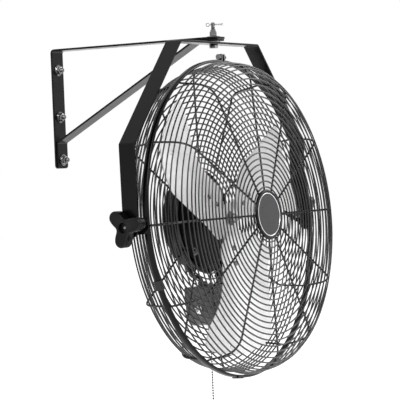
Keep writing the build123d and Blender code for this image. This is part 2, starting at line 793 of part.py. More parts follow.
with BuildPart() as rotor_nut:
    with BuildSketch(head.offset(spider_front)):
        RegularPolygon(radius=9.5, side_count=6)
        RegularPolygon(radius=shaft_radius / cos(pi / 12), side_count=12, mode=Mode.SUBTRACT)
    extrude(amount=7.0)
save(rotor_nut, "rotor_nut")

# =========================================================================================================
# Tilt fixings: ears riveted to the clamp ring, coach bolts, washers and lobed hand knobs
# =========================================================================================================
ear_inner = ring_radius + 0.05
ear_outer = ear_inner + ear_thick
sides = {"left": -1, "right": 1}


def side_plane(side, across):
    """A plane facing outwards at this distance from the fan's middle: y is up, x is depth on the left side."""
    origin = head.from_local_coords((side * across, 0, 0))
    return Plane(origin=origin, x_dir=head.z_dir * -side, z_dir=head.x_dir * side)


with BuildPart() as tilt_ears:
    for side in sides.values():
        with BuildSketch(side_plane(side, ear_inner)):
            with Locations((-side * ring_front / 2, 0)):
                Rectangle(ring_front, ear_width)
            Circle(ear_width / 2)
            Rectangle(neck_width, neck_width, mode=Mode.SUBTRACT)
            with Locations((-side * ring_forward, rivet_up), (-side * ring_forward, -rivet_up)):
                RegularPolygon(radius=rivet_radius, side_count=6, mode=Mode.SUBTRACT)
        extrude(amount=ear_thick)
save(tilt_ears, "tilt_ears")

with BuildPart() as ear_rivets:
    for side in sides.values():
        with BuildSketch(side_plane(side, ear_outer)):
            with Locations((-side * ring_forward, rivet_up), (-side * ring_forward, -rivet_up)):
                RegularPolygon(radius=2 * rivet_radius, side_count=10)
        extrude(amount=1.0)
        with BuildSketch(side_plane(side, ear_outer)):
            with Locations((-side * ring_forward, rivet_up), (-side * ring_forward, -rivet_up)):
                RegularPolygon(radius=rivet_radius, side_count=6)
        extrude(amount=-ear_thick)
save(ear_rivets, "ear_rivets")

# Each coach bolt's square neck is held in the ear, so the bolt tilts with the head.
leg_outer = yoke_leg_x
knob_seat = leg_outer + 0.1 + washer_thick + 0.1
stud_end = knob_seat + knob_thick - knob_recess + 3.0
with BuildPart() as tilt_studs:
    for side in sides.values():
        with BuildSketch(side_plane(side, ear_inner)):
            RegularPolygon(radius=stud_head, side_count=16)
        extrude(amount=-stud_head_height)
        with BuildSketch(side_plane(side, ear_inner)):
            Rectangle(neck_width - 0.2, neck_width - 0.2)
        extrude(amount=ear_thick)
        with BuildSketch(side_plane(side, ear_inner)):
            Circle(stud_radius)
        extrude(amount=stud_end - ear_inner)
save(tilt_studs, "tilt_studs")

with BuildPart() as fibre_washers:
    for side in sides.values():
        with BuildSketch(side_plane(side, leg_inner - 0.1 - fibre_washer)):
            RegularPolygon(radius=stud_head + 2.0, side_count=16)
            RegularPolygon(radius=stud_radius + hole_gap, side_count=10, mode=Mode.SUBTRACT)
        extrude(amount=fibre_washer)
save(fibre_washers, "fibre_washers")

with BuildPart() as knob_washers:
    for side in sides.values():
        with BuildSketch(side_plane(side, leg_outer + 0.1)):
            RegularPolygon(radius=stud_head + 2.0, side_count=16)
            RegularPolygon(radius=stud_radius + hole_gap, side_count=10, mode=Mode.SUBTRACT)
        extrude(amount=washer_thick)
save(knob_washers, "knob_washers")

lobe_circle = knob_reach - knob_lobe
for name, side in sides.items():
    seat = side_plane(side, knob_seat)
    with BuildPart() as knob:
        with BuildSketch(seat):
            Circle(knob_core)
            with PolarLocations(lobe_circle / 2, 3, start_angle=knob_rest_turn):
                SlotCenterToCenter(lobe_circle, 2 * knob_lobe)
            fillet(vertices(), radius=3.0)
        extrude(amount=knob_thick)
        with BuildSketch(seat.offset(knob_thick)):
            Circle(knob_core - 4.0)
        extrude(amount=-knob_recess, mode=Mode.SUBTRACT)
        with BuildSketch(seat):
            RegularPolygon(radius=insert_radius, side_count=6)
        extrude(amount=insert_length, mode=Mode.SUBTRACT)
        with BuildSketch(seat):
            Circle(stud_radius + 0.2)
        extrude(amount=knob_thick, mode=Mode.SUBTRACT)
    save(knob, f"knob_{name}")
    with BuildPart() as insert:
        with BuildSketch(seat):
            RegularPolygon(radius=insert_radius, side_count=6)
            Circle(stud_radius + swivel_gap, mode=Mode.SUBTRACT)
        extrude(amount=insert_length)
    save(insert, f"knob_insert_{name}")

# =========================================================================================================
# Switch box: shell, back cover, pull switch and wiring, hung from the motor plate by a bent bracket
# =========================================================================================================
box_top = -box_top_drop
box_bottom = box_top - box_height
box_back_depth = box_front_depth - box_depth
box_mid_depth = box_front_depth - box_depth / 2
cover_depth = box_back_depth + cover_thick
inner_bottom = box_bottom + box_wall
inner_front = box_front_depth - box_wall
boss_seats = [(box_x + way * boss_across, up) for up in boss_heights for way in (-1, 1)]


def level_at(up):
    """A plane square to the head's own upright: x is X, y is depth turned round."""
    return Plane(origin=head.from_local_coords((0, up, 0)), x_dir=head.x_dir, z_dir=head.y_dir)


def u_outline(inset):
    """The box's outline seen from the front: square above, well rounded below."""
    left, right = box_x - box_width / 2 + inset, box_x + box_width / 2 - inset
    with BuildSketch(mode=Mode.PRIVATE) as outline:
        with Locations((box_x, box_top - box_height / 2)):
            Rectangle(right - left, box_height - 2 * inset)
        fillet(outline.vertices().group_by(Axis.Y)[0], radius=box_round - inset)
        fillet(outline.vertices().group_by(Axis.Y)[-1], radius=box_corner - inset)
    return outline.sketch


with BuildPart() as switch_box:
    with BuildSketch(head.offset(cover_depth)):
        add(u_outline(0.0))
    extrude(amount=box_front_depth - cover_depth)
    with BuildSketch(head.offset(cover_depth)):
        add(u_outline(box_wall))
    extrude(amount=inner_front - cover_depth, mode=Mode.SUBTRACT)
    with BuildSketch(head.offset(cover_depth)):
        with Locations(*boss_seats):
            Rectangle(boss_size, boss_size)
            RegularPolygon(radius=cover_screw_radius + 0.1, side_count=6, mode=Mode.SUBTRACT)
    extrude(amount=boss_length)
    with BuildSketch(level_at(box_top)):
        with Locations((lead_end_x, -lead_depth)):
            RegularPolygon(radius=lead_radius + 0.4, side_count=12)
        with Locations((bracket_x, -bracket_screw_depth)):
            RegularPolygon(radius=bracket_screw_radius + 0.2, side_count=6)
    extrude(amount=-2 * box_wall, mode=Mode.SUBTRACT)
    with BuildSketch(level_at(box_bottom)):
        with Locations((box_x, -box_mid_depth)):
            RegularPolygon(radius=barrel_radius + 0.1, side_count=16)
    extrude(amount=2 * box_wall, mode=Mode.SUBTRACT)
    with BuildSketch(side_plane(1, box_x - box_width / 2)):
        with Locations((-box_mid_depth, gland_up)):
            RegularPolygon(radius=gland_bush + 0.1, side_count=12)
    extrude(amount=2 * box_wall, mode=Mode.SUBTRACT)
save(switch_box, "switch_box")

with BuildPart() as box_cover:
    with BuildSketch(head.offset(box_back_depth)):
        add(u_outline(0.0))
        with Locations(*boss_seats):
            RegularPolygon(radius=cover_screw_radius + 0.2, side_count=6, mode=Mode.SUBTRACT)
    extrude(amount=cover_thick)
save(box_cover, "box_cover")

with BuildPart() as box_screws:
    with BuildSketch(head.offset(box_back_depth)):
        with Locations(*boss_seats):
            RegularPolygon(radius=2 * cover_screw_radius, side_count=8)
    extrude(amount=-1.8)
    with BuildSketch(head.offset(box_back_depth)):
        with Locations(*boss_seats):
            RegularPolygon(radius=cover_screw_radius, side_count=6)
    extrude(amount=cover_thick + boss_length - 1.0)
save(box_screws, "box_screws")

# The bracket is bolted to the motor plate's tongue and runs back over the top of the box.
bracket_side = Plane(origin=head.from_local_coords((bracket_x, 0, 0)), x_dir=head.z_dir, z_dir=head.x_dir * -1)
with BuildPart() as box_bracket:
    with BuildSketch(bracket_side):
        with BuildLine():
            FilletPolyline(
                (plate_back, bracket_top),
                (plate_back, box_top),
                (bracket_reach_depth, box_top),
                radius=bracket_thick + 1.0,
            )
            offset(amount=bracket_thick, side=Side.RIGHT)
        make_face()
    extrude(amount=bracket_width / 2, both=True)
    with BuildSketch(level_at(box_top)):
        with Locations((bracket_x, -bracket_screw_depth)):
            RegularPolygon(radius=bracket_screw_radius + 0.2, side_count=6)
    extrude(amount=2 * bracket_thick, mode=Mode.SUBTRACT)
    with BuildSketch(head.offset(plate_back)):
        with Locations(*tongue_screws):
            RegularPolygon(radius=bracket_screw_radius + 0.2, side_count=6)
    extrude(amount=-2 * bracket_thick, mode=Mode.SUBTRACT)
save(box_bracket, "box_bracket")

with BuildPart() as bracket_screws:
    with BuildSketch(head.offset(rear_plate_depth)):
        with Locations(*tongue_screws):
            RegularPolygon(radius=2 * bracket_screw_radius, side_count=6)
    extrude(amount=2.4)
    with BuildSketch(head.offset(rear_plate_depth)):
        with Locations(*tongue_screws):
            RegularPolygon(radius=bracket_screw_radius, side_count=6)
    extrude(amount=-(plate_thick + bracket_thick + 4.0))
    with BuildSketch(level_at(box_top + bracket_thick)):
        with Locations((bracket_x, -bracket_screw_depth)):
            RegularPolygon(radius=2 * bracket_screw_radius, side_count=6)
    extrude(amount=2.4)
    with BuildSketch(level_at(box_top + bracket_thick)):
        with Locations((bracket_x, -bracket_screw_depth)):
            RegularPolygon(radius=bracket_screw_radius, side_count=6)
    extrude(amount=-(bracket_thick + box_wall + 4.0))
save(bracket_screws, "bracket_screws")

# Inside the box: the pull switch on its floor, the capacitor and the terminal block on its front wall.
with BuildPart() as pull_switch:
    with BuildSketch(level_at(inner_bottom + floor_gap)):
        with Locations((box_x, -box_mid_depth)):
            Rectangle(20.0, 18.0)
    extrude(amount=16.0)
    with BuildSketch(level_at(inner_bottom + floor_gap)):
        with Locations((box_x, -box_mid_depth)):
            RegularPolygon(radius=barrel_radius, side_count=16)
    extrude(amount=-(floor_gap + box_wall + barrel_reach))
    with BuildSketch(level_at(box_bottom - barrel_reach)):
        with Locations((box_x, -box_mid_depth)):
            RegularPolygon(radius=bell_bore, side_count=12)
    extrude(amount=barrel_reach + bore_depth, mode=Mode.SUBTRACT)
save(pull_switch, "pull_switch")

with BuildPart() as switch_nut:
    with BuildSketch(level_at(box_bottom)):
        with Locations((box_x, -box_mid_depth)):
            RegularPolygon(radius=8.0, side_count=6)
            RegularPolygon(radius=barrel_radius, side_count=16, mode=Mode.SUBTRACT)
    extrude(amount=-3.0)
save(switch_nut, "switch_nut")

with BuildPart() as capacitor:
    with BuildSketch(head.offset(inner_front)):
        with Locations((box_x, capacitor_up)):
            Rectangle(34.0, 14.0)
    extrude(amount=-16.0)
save(capacitor, "capacitor")

with BuildPart() as terminal_block:
    with BuildSketch(head.offset(inner_front)):
        with Locations((box_x, terminal_up)):
            Rectangle(38.0, 9.0)
    extrude(amount=-11.0)
save(terminal_block, "terminal_block")

# The power cord's gland, and the motor's lead with a gland at each end.
gland_seat = side_plane(-1, box_width / 2 - box_x)
with BuildPart() as cord_gland:
    with BuildSketch(gland_seat):
        with Locations((box_mid_depth, gland_up)):
            RegularPolygon(radius=9.0, side_count=6)
            RegularPolygon(radius=lead_radius, side_count=12, mode=Mode.SUBTRACT)
    extrude(amount=5.0)
    with BuildSketch(gland_seat.offset(-box_wall - 3.0)):
        with Locations((box_mid_depth, gland_up)):
            RegularPolygon(radius=gland_bush, side_count=12)
            RegularPolygon(radius=lead_radius, side_count=12, mode=Mode.SUBTRACT)
    extrude(amount=box_wall + 14.0)
save(cord_gland, "cord_gland")

lead_way = radians(lead_start_angle)
lead_plane = head.offset(lead_depth)
lead_start, lead_turn = [
    (radius * cos(lead_way), radius * sin(lead_way)) for radius in (lead_start_radius, lead_start_radius + lead_run)
]
with BuildPart() as motor_lead:
    with BuildLine(lead_plane) as lead_line:
        FilletPolyline(
            lead_start,
            lead_turn,
            (lead_end_x, box_top + lead_run),
            (lead_end_x, box_top - box_wall),
            radius=9.0,
        )
    with BuildSketch(Plane(origin=lead_line.line @ 0, z_dir=lead_line.line % 0)):
        RegularPolygon(radius=lead_radius, side_count=10)
    sweep(path=lead_line.line)
save(motor_lead, "motor_lead")

with BuildPart() as lead_glands:
    with BuildSketch(Plane(origin=lead_line.line @ 0, z_dir=lead_line.line % 0)):
        RegularPolygon(radius=7.5, side_count=12)
        RegularPolygon(radius=lead_radius + 0.4, side_count=10, mode=Mode.SUBTRACT)
    extrude(amount=gland_length)
    with BuildSketch(Plane(origin=lead_plane.from_local_coords((lead_end_x, box_top, 0)), z_dir=head.y_dir)):
        RegularPolygon(radius=7.5, side_count=12)
        RegularPolygon(radius=lead_radius + 0.4, side_count=12, mode=Mode.SUBTRACT)
    extrude(amount=gland_length)
save(lead_glands, "lead_glands")

# =========================================================================================================
# Pull chain: hangs straight down from the switch's barrel, with a turned bell at its end
# =========================================================================================================
chain_mouth = head.from_local_coords((box_x, box_bottom, box_mid_depth))
chain_top = chain_mouth + Vector(0, 0, bore_depth - 0.3)
with BuildPart() as pull_chain:
    with BuildSketch(Plane(chain_top)):
        RegularPolygon(radius=chain_radius, side_count=8)
    extrude(amount=-chain_length)
save(pull_chain, "pull_chain")

bell_top = chain_top - Vector(0, 0, chain_length)
with BuildPart() as chain_bell:
    with BuildSketch(Plane(bell_top)):
        RegularPolygon(radius=2.8, side_count=12)
    with BuildSketch(Plane(bell_top - Vector(0, 0, bell_length))):
        RegularPolygon(radius=bell_radius, side_count=12)
    loft()
save(chain_bell, "chain_bell")
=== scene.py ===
"""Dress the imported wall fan: wire cage, pressed blades, rolled bars, hardware, switch box and finishes."""

import json
import logging
import math
from collections.abc import Iterable, Sequence
from dataclasses import dataclass
from enum import Enum
from typing import Protocol

import bmesh
import bpy
from mathutils import Matrix, Vector

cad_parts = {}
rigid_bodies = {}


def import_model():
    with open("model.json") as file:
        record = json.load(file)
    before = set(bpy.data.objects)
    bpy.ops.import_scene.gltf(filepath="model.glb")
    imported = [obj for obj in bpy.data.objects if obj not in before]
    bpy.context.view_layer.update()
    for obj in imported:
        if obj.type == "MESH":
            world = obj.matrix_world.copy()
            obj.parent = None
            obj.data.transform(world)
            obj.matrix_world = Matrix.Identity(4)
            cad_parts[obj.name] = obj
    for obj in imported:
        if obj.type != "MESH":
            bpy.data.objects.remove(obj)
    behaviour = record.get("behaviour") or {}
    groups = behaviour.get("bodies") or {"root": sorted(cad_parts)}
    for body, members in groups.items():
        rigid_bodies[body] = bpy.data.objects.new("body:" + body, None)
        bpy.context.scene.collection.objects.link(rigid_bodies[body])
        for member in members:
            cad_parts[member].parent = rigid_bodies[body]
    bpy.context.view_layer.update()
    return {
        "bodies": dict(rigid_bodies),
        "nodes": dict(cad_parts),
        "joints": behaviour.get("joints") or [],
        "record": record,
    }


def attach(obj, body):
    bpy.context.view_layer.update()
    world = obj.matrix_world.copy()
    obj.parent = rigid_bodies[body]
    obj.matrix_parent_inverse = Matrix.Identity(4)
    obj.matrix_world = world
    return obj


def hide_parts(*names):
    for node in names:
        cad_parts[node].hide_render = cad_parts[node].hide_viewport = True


LOG = logging.getLogger("wall_fan")
MM = 0.001
Point2 = tuple[float, float]
Point3 = tuple[float, float, float]
Tree = bpy.types.NodeTree
Socket = bpy.types.NodeSocket


class Body(Enum):
    """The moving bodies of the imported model."""

    BRACKET = "wall_bracket"
    YOKE = "yoke"
    HEAD = "head"
    ROTOR = "rotor"
    KNOB_LEFT = "knob_left"
    KNOB_RIGHT = "knob_right"
    CHAIN = "pull_chain"


class Side(Enum):
    """The two ends of the tilt axis, with the sign of X at each."""

    LEFT = -1
    RIGHT = 1

    def plane(self, across: float) -> Matrix:
        """Return a plane that faces outwards from the head, with y up and x along the shaft.

        Args:
            across: Distance of the plane from the head's middle, in millimetres.

        Returns:
            The plane's placement in the head, with its z pointing outwards.
        """
        columns = (Vector((0.0, 0.0, -self.value)), Vector((0.0, 1.0, 0.0)), Vector((self.value, 0.0, 0.0)))
        lie = Matrix(columns).transposed().to_4x4()
        return Matrix.Translation((self.value * across, 0.0, 0.0)) @ lie


# --- Places ---------------------------------------------------------------------------------------------


@dataclass(frozen=True)
class HeadFrame:
    """The tilted frame of the cage, motor and blades.

    Attributes:
        origin: Middle of the tilt axis, in metres.
        rest_tilt: Upward tilt of the head at rest, in degrees.
    """

    origin: Point3 = (0.0, -0.328, -0.188)
    rest_tilt: float = 4.0

    def matrix(self) -> Matrix:
        """Return the matrix from millimetres in the head to metres in the model.

        Returns:
            A matrix whose x runs along the tilt axis, its y up and its z forward along the shaft.
        """
        tilt = math.radians(self.rest_tilt)
        right = Vector((1.0, 0.0, 0.0))
        up = Vector((0.0, math.sin(tilt), math.cos(tilt)))
        forward = Vector((0.0, -math.cos(tilt), math.sin(tilt)))
        turn = Matrix((right, up, forward)).transposed().to_4x4()
        return Matrix.Translation(self.origin) @ turn @ Matrix.Scale(MM, 4)

    def point(self, x: float, y: float, z: float) -> Vector:
        """Return a head point, given in millimetres, in metres of the model."""
        return self.matrix() @ Vector((x, y, z))


HEAD = HeadFrame()
WORLD = Matrix.Scale(MM, 4)
SIDE_VIEW = Matrix(((0, 0, 1, 0), (1, 0, 0, 0), (0, 1, 0, 0), (0, 0, 0, 1)))
FRONT_VIEW = Matrix(((1, 0, 0, 0), (0, 0, -1, -328.0), (0, 1, 0, 0), (0, 0, 0, 1)))


def seat(origin: Sequence[float], axis: Sequence[float], turn: float = 0.0) -> Matrix:
    """Return a local placement whose z runs along an axis.

    Args:
        origin: Where the placement sits, in millimetres.
        axis: Direction of its z.
        turn: Turn about that z, in degrees.

    Returns:
        The placement as a matrix.
    """
    lie = Vector(axis).to_track_quat("Z", "Y").to_matrix().to_4x4()
    return Matrix.Translation(Vector(origin)) @ lie @ Matrix.Rotation(math.radians(turn), 4, "Z")


# --- Finishes -------------------------------------------------------------------------------------------

CLOUD_SCALE = 14.0  # slow drift of the colour, per metre
MOTTLE_SCALE = 90.0  # patches of roughness and of the edge wear and painted edge glint, per metre
NOISE_RANGE = (0.3, 0.7)  # what a noise texture fills
LEAST_ROUGHNESS = 0.02
BUMP_STRENGTH = 0.6
EDGE_WEAR_AND_GLINT_RADIUS = 0.0009  # how far from an edge the wear and the painted glint reach, in metres
EDGE_WEAR_AND_GLINT_SAMPLES = 4
EDGE_WEAR_AND_GLINT_TURN = (0.98, 0.80)  # cosines of the turn at which the edge wear and painted glint begin and are full
EDGE_WEAR_AND_GLINT_PATCH = (0.45, 0.62)  # levels of the mottle at which the edge wear and painted glint begin and are full


def calculate(tree: Tree, operation: str, first: Socket, second: Socket | float) -> Socket:
    """Add a maths node.

    Args:
        tree: The node tree.
        operation: What the node does.
        first: Its first number.
        second: Its second number.

    Returns:
        The socket of the result.
    """
    node = tree.nodes.new("ShaderNodeMath")
    node.operation = operation
    tree.links.new(first, node.inputs[0])
    if isinstance(second, float):
        node.inputs[1].default_value = second
    else:
        tree.links.new(second, node.inputs[1])
    return node.outputs["Value"]


def map_range(tree: Tree, value: Socket, given: Point2, wanted: Point2 = (0.0, 1.0)) -> Socket:
    """Add a node that maps one range of numbers to another.

    Args:
        tree: The node tree.
        value: The number to map.
        given: Ends of the range that it comes in.
        wanted: Ends of the range that it leaves in.

    Returns:
        The socket of the mapped number.
    """
    node = tree.nodes.new("ShaderNodeMapRange")
    node.inputs["From Min"].default_value, node.inputs["From Max"].default_value = given
    node.inputs["To Min"].default_value, node.inputs["To Max"].default_value = wanted
    tree.links.new(value, node.inputs["Value"])
    return node.outputs["Result"]


@dataclass(frozen=True)
class Finish:
    """A procedural surface.

    Attributes:
        base: Linear base colour.
        roughness: Middle of the roughness range.
        metallic: Metallic share.
        spread: How far roughness wanders either side of its middle.
        variation: How much lighter and darker the colour wanders.
        grain: Scale of the fine bump noise, per metre.
        bump: Height of the bump, in metres.
        stretch: Scale of the grain along the object's axes.
        wear: Colour shown on sharp edges: real wear on the enamels, a painted
            highlight on zinc; or None.
        wear_share: How much of that edge colour shows.
        specular: Specular level.
    """

    base: Point3
    roughness: float = 0.4
    metallic: float = 0.0
    spread: float = 0.08
    variation: float = 0.12
    grain: float = 700.0
    bump: float = 0.00004
    stretch: Point3 = (1.0, 1.0, 1.0)
    wear: Point3 | None = None
    wear_share: float = 0.3
    specular: float = 0.5

    def build(self, name: str) -> bpy.types.Material:
        """Make the material's node tree.

        Args:
            name: Name of the material.

        Returns:
            The finished material.
        """
        material = bpy.data.materials.new(name)
        material.use_nodes = True
        tree = material.node_tree
        tree.nodes.clear()
        new, link = tree.nodes.new, tree.links.new
        output, shader = new("ShaderNodeOutputMaterial"), new("ShaderNodeBsdfPrincipled")
        link(shader.outputs["BSDF"], output.inputs["Surface"])
        shader.inputs["Metallic"].default_value = self.metallic
        shader.inputs["Specular IOR Level"].default_value = self.specular

        where, mapping = new("ShaderNodeTexCoord"), new("ShaderNodeMapping")
        mapping.inputs["Scale"].default_value = self.stretch
        link(where.outputs["Object"], mapping.inputs["Vector"])
        cloud = self._noise(tree, mapping, CLOUD_SCALE, detail=4.0)
        mottle = self._noise(tree, mapping, MOTTLE_SCALE, detail=6.0)
        fine = self._noise(tree, mapping, self.grain, detail=3.0)

        colour = new("ShaderNodeVectorMath")
        colour.operation = "SCALE"
        colour.inputs[0].default_value = self.base
        drift = (1.0 - self.variation, 1.0 + self.variation)
        link(map_range(tree, cloud, NOISE_RANGE, drift), colour.inputs["Scale"])
        painted = colour.outputs["Vector"]
        # Sharp edges take a second colour: real wear on the enamels, a painted bright highlight on zinc.
        if self.wear is not None:
            painted = self._worn(tree, painted, mottle)
        link(painted, shader.inputs["Base Color"])

        smoothest = max(self.roughness - self.spread, LEAST_ROUGHNESS)
        roughest = min(self.roughness + self.spread, 1.0)
        link(map_range(tree, mottle, NOISE_RANGE, (smoothest, roughest)), shader.inputs["Roughness"])

        relief = new("ShaderNodeBump")
        relief.inputs["Strength"].default_value = BUMP_STRENGTH
        relief.inputs["Distance"].default_value = self.bump
        link(fine, relief.inputs["Height"])
        link(relief.outputs["Normal"], shader.inputs["Normal"])
        return material

    @staticmethod
    def _noise(tree: Tree, mapping: bpy.types.Node, scale: float, detail: float) -> Socket:
        """Add a noise texture in object space.

        Args:
            tree: The node tree.
            mapping: The node that gives the place.
            scale: Scale of the noise, per metre.
            detail: Its detail.

        Returns:
            The socket of the noise's level.
        """
        noise = tree.nodes.new("ShaderNodeTexNoise")
        noise.inputs["Scale"].default_value = scale
        noise.inputs["Detail"].default_value = detail
        tree.links.new(mapping.outputs["Vector"], noise.inputs["Vector"])
        return noise.outputs["Fac"]

    def _worn(self, tree: Tree, painted: Socket, mottle: Socket) -> Socket:
        """Mix the edge colour in where the surface turns sharply: real wear on the enamels, a painted
        highlight on zinc.

        Args:
            tree: The node tree.
            painted: The colour before the edge colour is mixed in.
            mottle: The noise that breaks the edge wear and the painted glint up.

        Returns:
            The socket of the mixed colour.
        """
        new, link = tree.nodes.new, tree.links.new
        soft, shape = new("ShaderNodeBevel"), new("ShaderNodeNewGeometry")
        soft.samples = EDGE_WEAR_AND_GLINT_SAMPLES
        soft.inputs["Radius"].default_value = EDGE_WEAR_AND_GLINT_RADIUS
        turned = new("ShaderNodeVectorMath")
        turned.operation = "DOT_PRODUCT"
        link(soft.outputs["Normal"], turned.inputs[0])
        link(shape.outputs["Normal"], turned.inputs[1])
        edge = map_range(tree, turned.outputs["Value"], EDGE_WEAR_AND_GLINT_TURN)
        patch = map_range(tree, mottle, EDGE_WEAR_AND_GLINT_PATCH, (0.0, self.wear_share))
        mix = new("ShaderNodeMix")
        mix.data_type = "RGBA"
        mix.inputs["B"].default_value = (*self.wear, 1.0)
        link(calculate(tree, "MULTIPLY", edge, patch), mix.inputs["Factor"])
        link(painted, mix.inputs["A"])
        return mix.outputs["Result"]


STEEL_WEAR = (0.22, 0.22, 0.23)
# Painted highlight: near-white zinc edges that stand in for glints, not wear.
ZINC_EDGE_GLINT = (0.85, 0.85, 0.84)
FINISHES: dict[str, Finish] = {
    "black_enamel": Finish((0.0015, 0.0015, 0.0017), 0.22, wear=STEEL_WEAR, wear_share=0.15, specular=0.16),
    # Zinc: dark metal whose sharp edges carry a painted bright highlight.
    "zinc": Finish(
        (0.17, 0.17, 0.17), 0.2, metallic=1.0, variation=0.2, spread=0.12, wear=ZINC_EDGE_GLINT, wear_share=1.0
    ),
    "fibre": Finish((0.055, 0.03, 0.018), 0.75, grain=1400.0, bump=0.00008),
    "spring_steel": Finish((0.010, 0.010, 0.011), 0.35, metallic=0.4, stretch=(1.0, 6.0, 1.0)),
    "grille_wire": Finish((0.002, 0.002, 0.0022), 0.22, grain=500.0, specular=0.5),
    "badge": Finish((0.023, 0.024, 0.025), 0.33, metallic=0.35, grain=1800.0, variation=0.05),
    "motor_enamel": Finish(
        (0.002, 0.002, 0.0022), 0.42, specular=0.07, grain=1100.0, bump=0.00006, wear=STEEL_WEAR
    ),
    "bearing_steel": Finish((0.60, 0.60, 0.61), 0.2, metallic=1.0, stretch=(1.0, 8.0, 1.0)),
    "lamination": Finish((0.12, 0.12, 0.125), 0.45, metallic=0.8, stretch=(1.0, 30.0, 1.0)),
    "copper": Finish(
        (0.55, 0.20, 0.07), 0.3, metallic=0.9, grain=900.0, bump=0.0002, stretch=(6.0, 6.0, 1.0)
    ),
    "hub_casting": Finish((0.42, 0.42, 0.43), 0.5, metallic=0.9, grain=1500.0, bump=0.0001),
    "spider_metal": Finish((0.75, 0.75, 0.75), 0.36, metallic=0.85, variation=0.06),
    "blade_metal": Finish((0.79, 0.79, 0.79), 0.35, metallic=0.7, variation=0.05),
    "knob_plastic": Finish((0.002, 0.002, 0.0022), 0.28, specular=0.2, grain=1300.0, bump=0.00005),
    "brass_insert": Finish((0.60, 0.42, 0.16), 0.25, metallic=1.0),
    "box_plastic": Finish((0.14, 0.14, 0.143), 0.5, specular=0.35, grain=1600.0, bump=0.0001),
    "switch_body": Finish((0.6, 0.55, 0.44), 0.5, grain=1500.0),
    "chrome_trim": Finish((0.74, 0.74, 0.76), 0.16, metallic=1.0, variation=0.06),
    "capacitor_case": Finish((0.75, 0.75, 0.72), 0.35),
    "terminal_plastic": Finish((0.5, 0.5, 0.47), 0.5),
    "lead_sheath": Finish((0.010, 0.010, 0.010), 0.55, grain=1500.0, bump=0.0001),
    "gland_plastic": Finish((0.009, 0.009, 0.009), 0.45, grain=1500.0),
    "chain_metal": Finish((0.035, 0.033, 0.030), 0.35, metallic=0.6, variation=0.2),
}
OTHER_SLOTS = {"ring_lugs": "zinc"}  # nodes whose finish isn't that of their slot in the record


class Palette:
    """Builds each finish once and hands it out by slot name."""

    def __init__(self) -> None:
        """Start with no finish made."""
        self._made: dict[str, bpy.types.Material] = {}

    def get(self, slot: str) -> bpy.types.Material:
        """Return the material of a slot.

        Args:
            slot: Name of the slot.

        Returns:
            Its material, which is made at the first call.
        """
        if slot not in self._made:
            self._made[slot] = FINISHES[slot].build(slot)
        return self._made[slot]

    def dress_nodes(self, frame: dict) -> None:
        """Give every CAD node its finish.

        Args:
            frame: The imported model.
        """
        slots = {part["node"]: part["material_slot"] for part in frame["record"]["subparts"]} | OTHER_SLOTS
        for name, node in frame["nodes"].items():
            finish = self.get(slots[name])
            if not node.material_slots:
                node.data.materials.append(finish)
            for holder in node.material_slots:
                holder.material = finish
        LOG.info("dressed %d CAD nodes", len(frame["nodes"]))


PALETTE = Palette()


# --- Mesh making ----------------------------------------------------------------------------------------

MERGE_DISTANCE = 0.0005  # in millimetres
LEVEL = 1e-4  # height difference under which an edge counts as level, in millimetres


def adopt(piece: bpy.types.Object, body: Body, slot: str, replaces: Iterable[str] = ()) -> bpy.types.Object:
    """Link a piece, give it its finish and set it on its body.

    Args:
        piece: The new object.
        body: The body it rides on.
        slot: Slot that its finish comes from.
        replaces: CAD nodes that it stands for.

    Returns:
        The same object.
    """
    bpy.context.scene.collection.objects.link(piece)
    piece.data.materials.append(PALETTE.get(slot))
    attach(piece, body.value)
    nodes = list(replaces)
    if nodes:
        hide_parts(*nodes)
    LOG.info("made %s on %s", piece.name, body.value)
    return piece


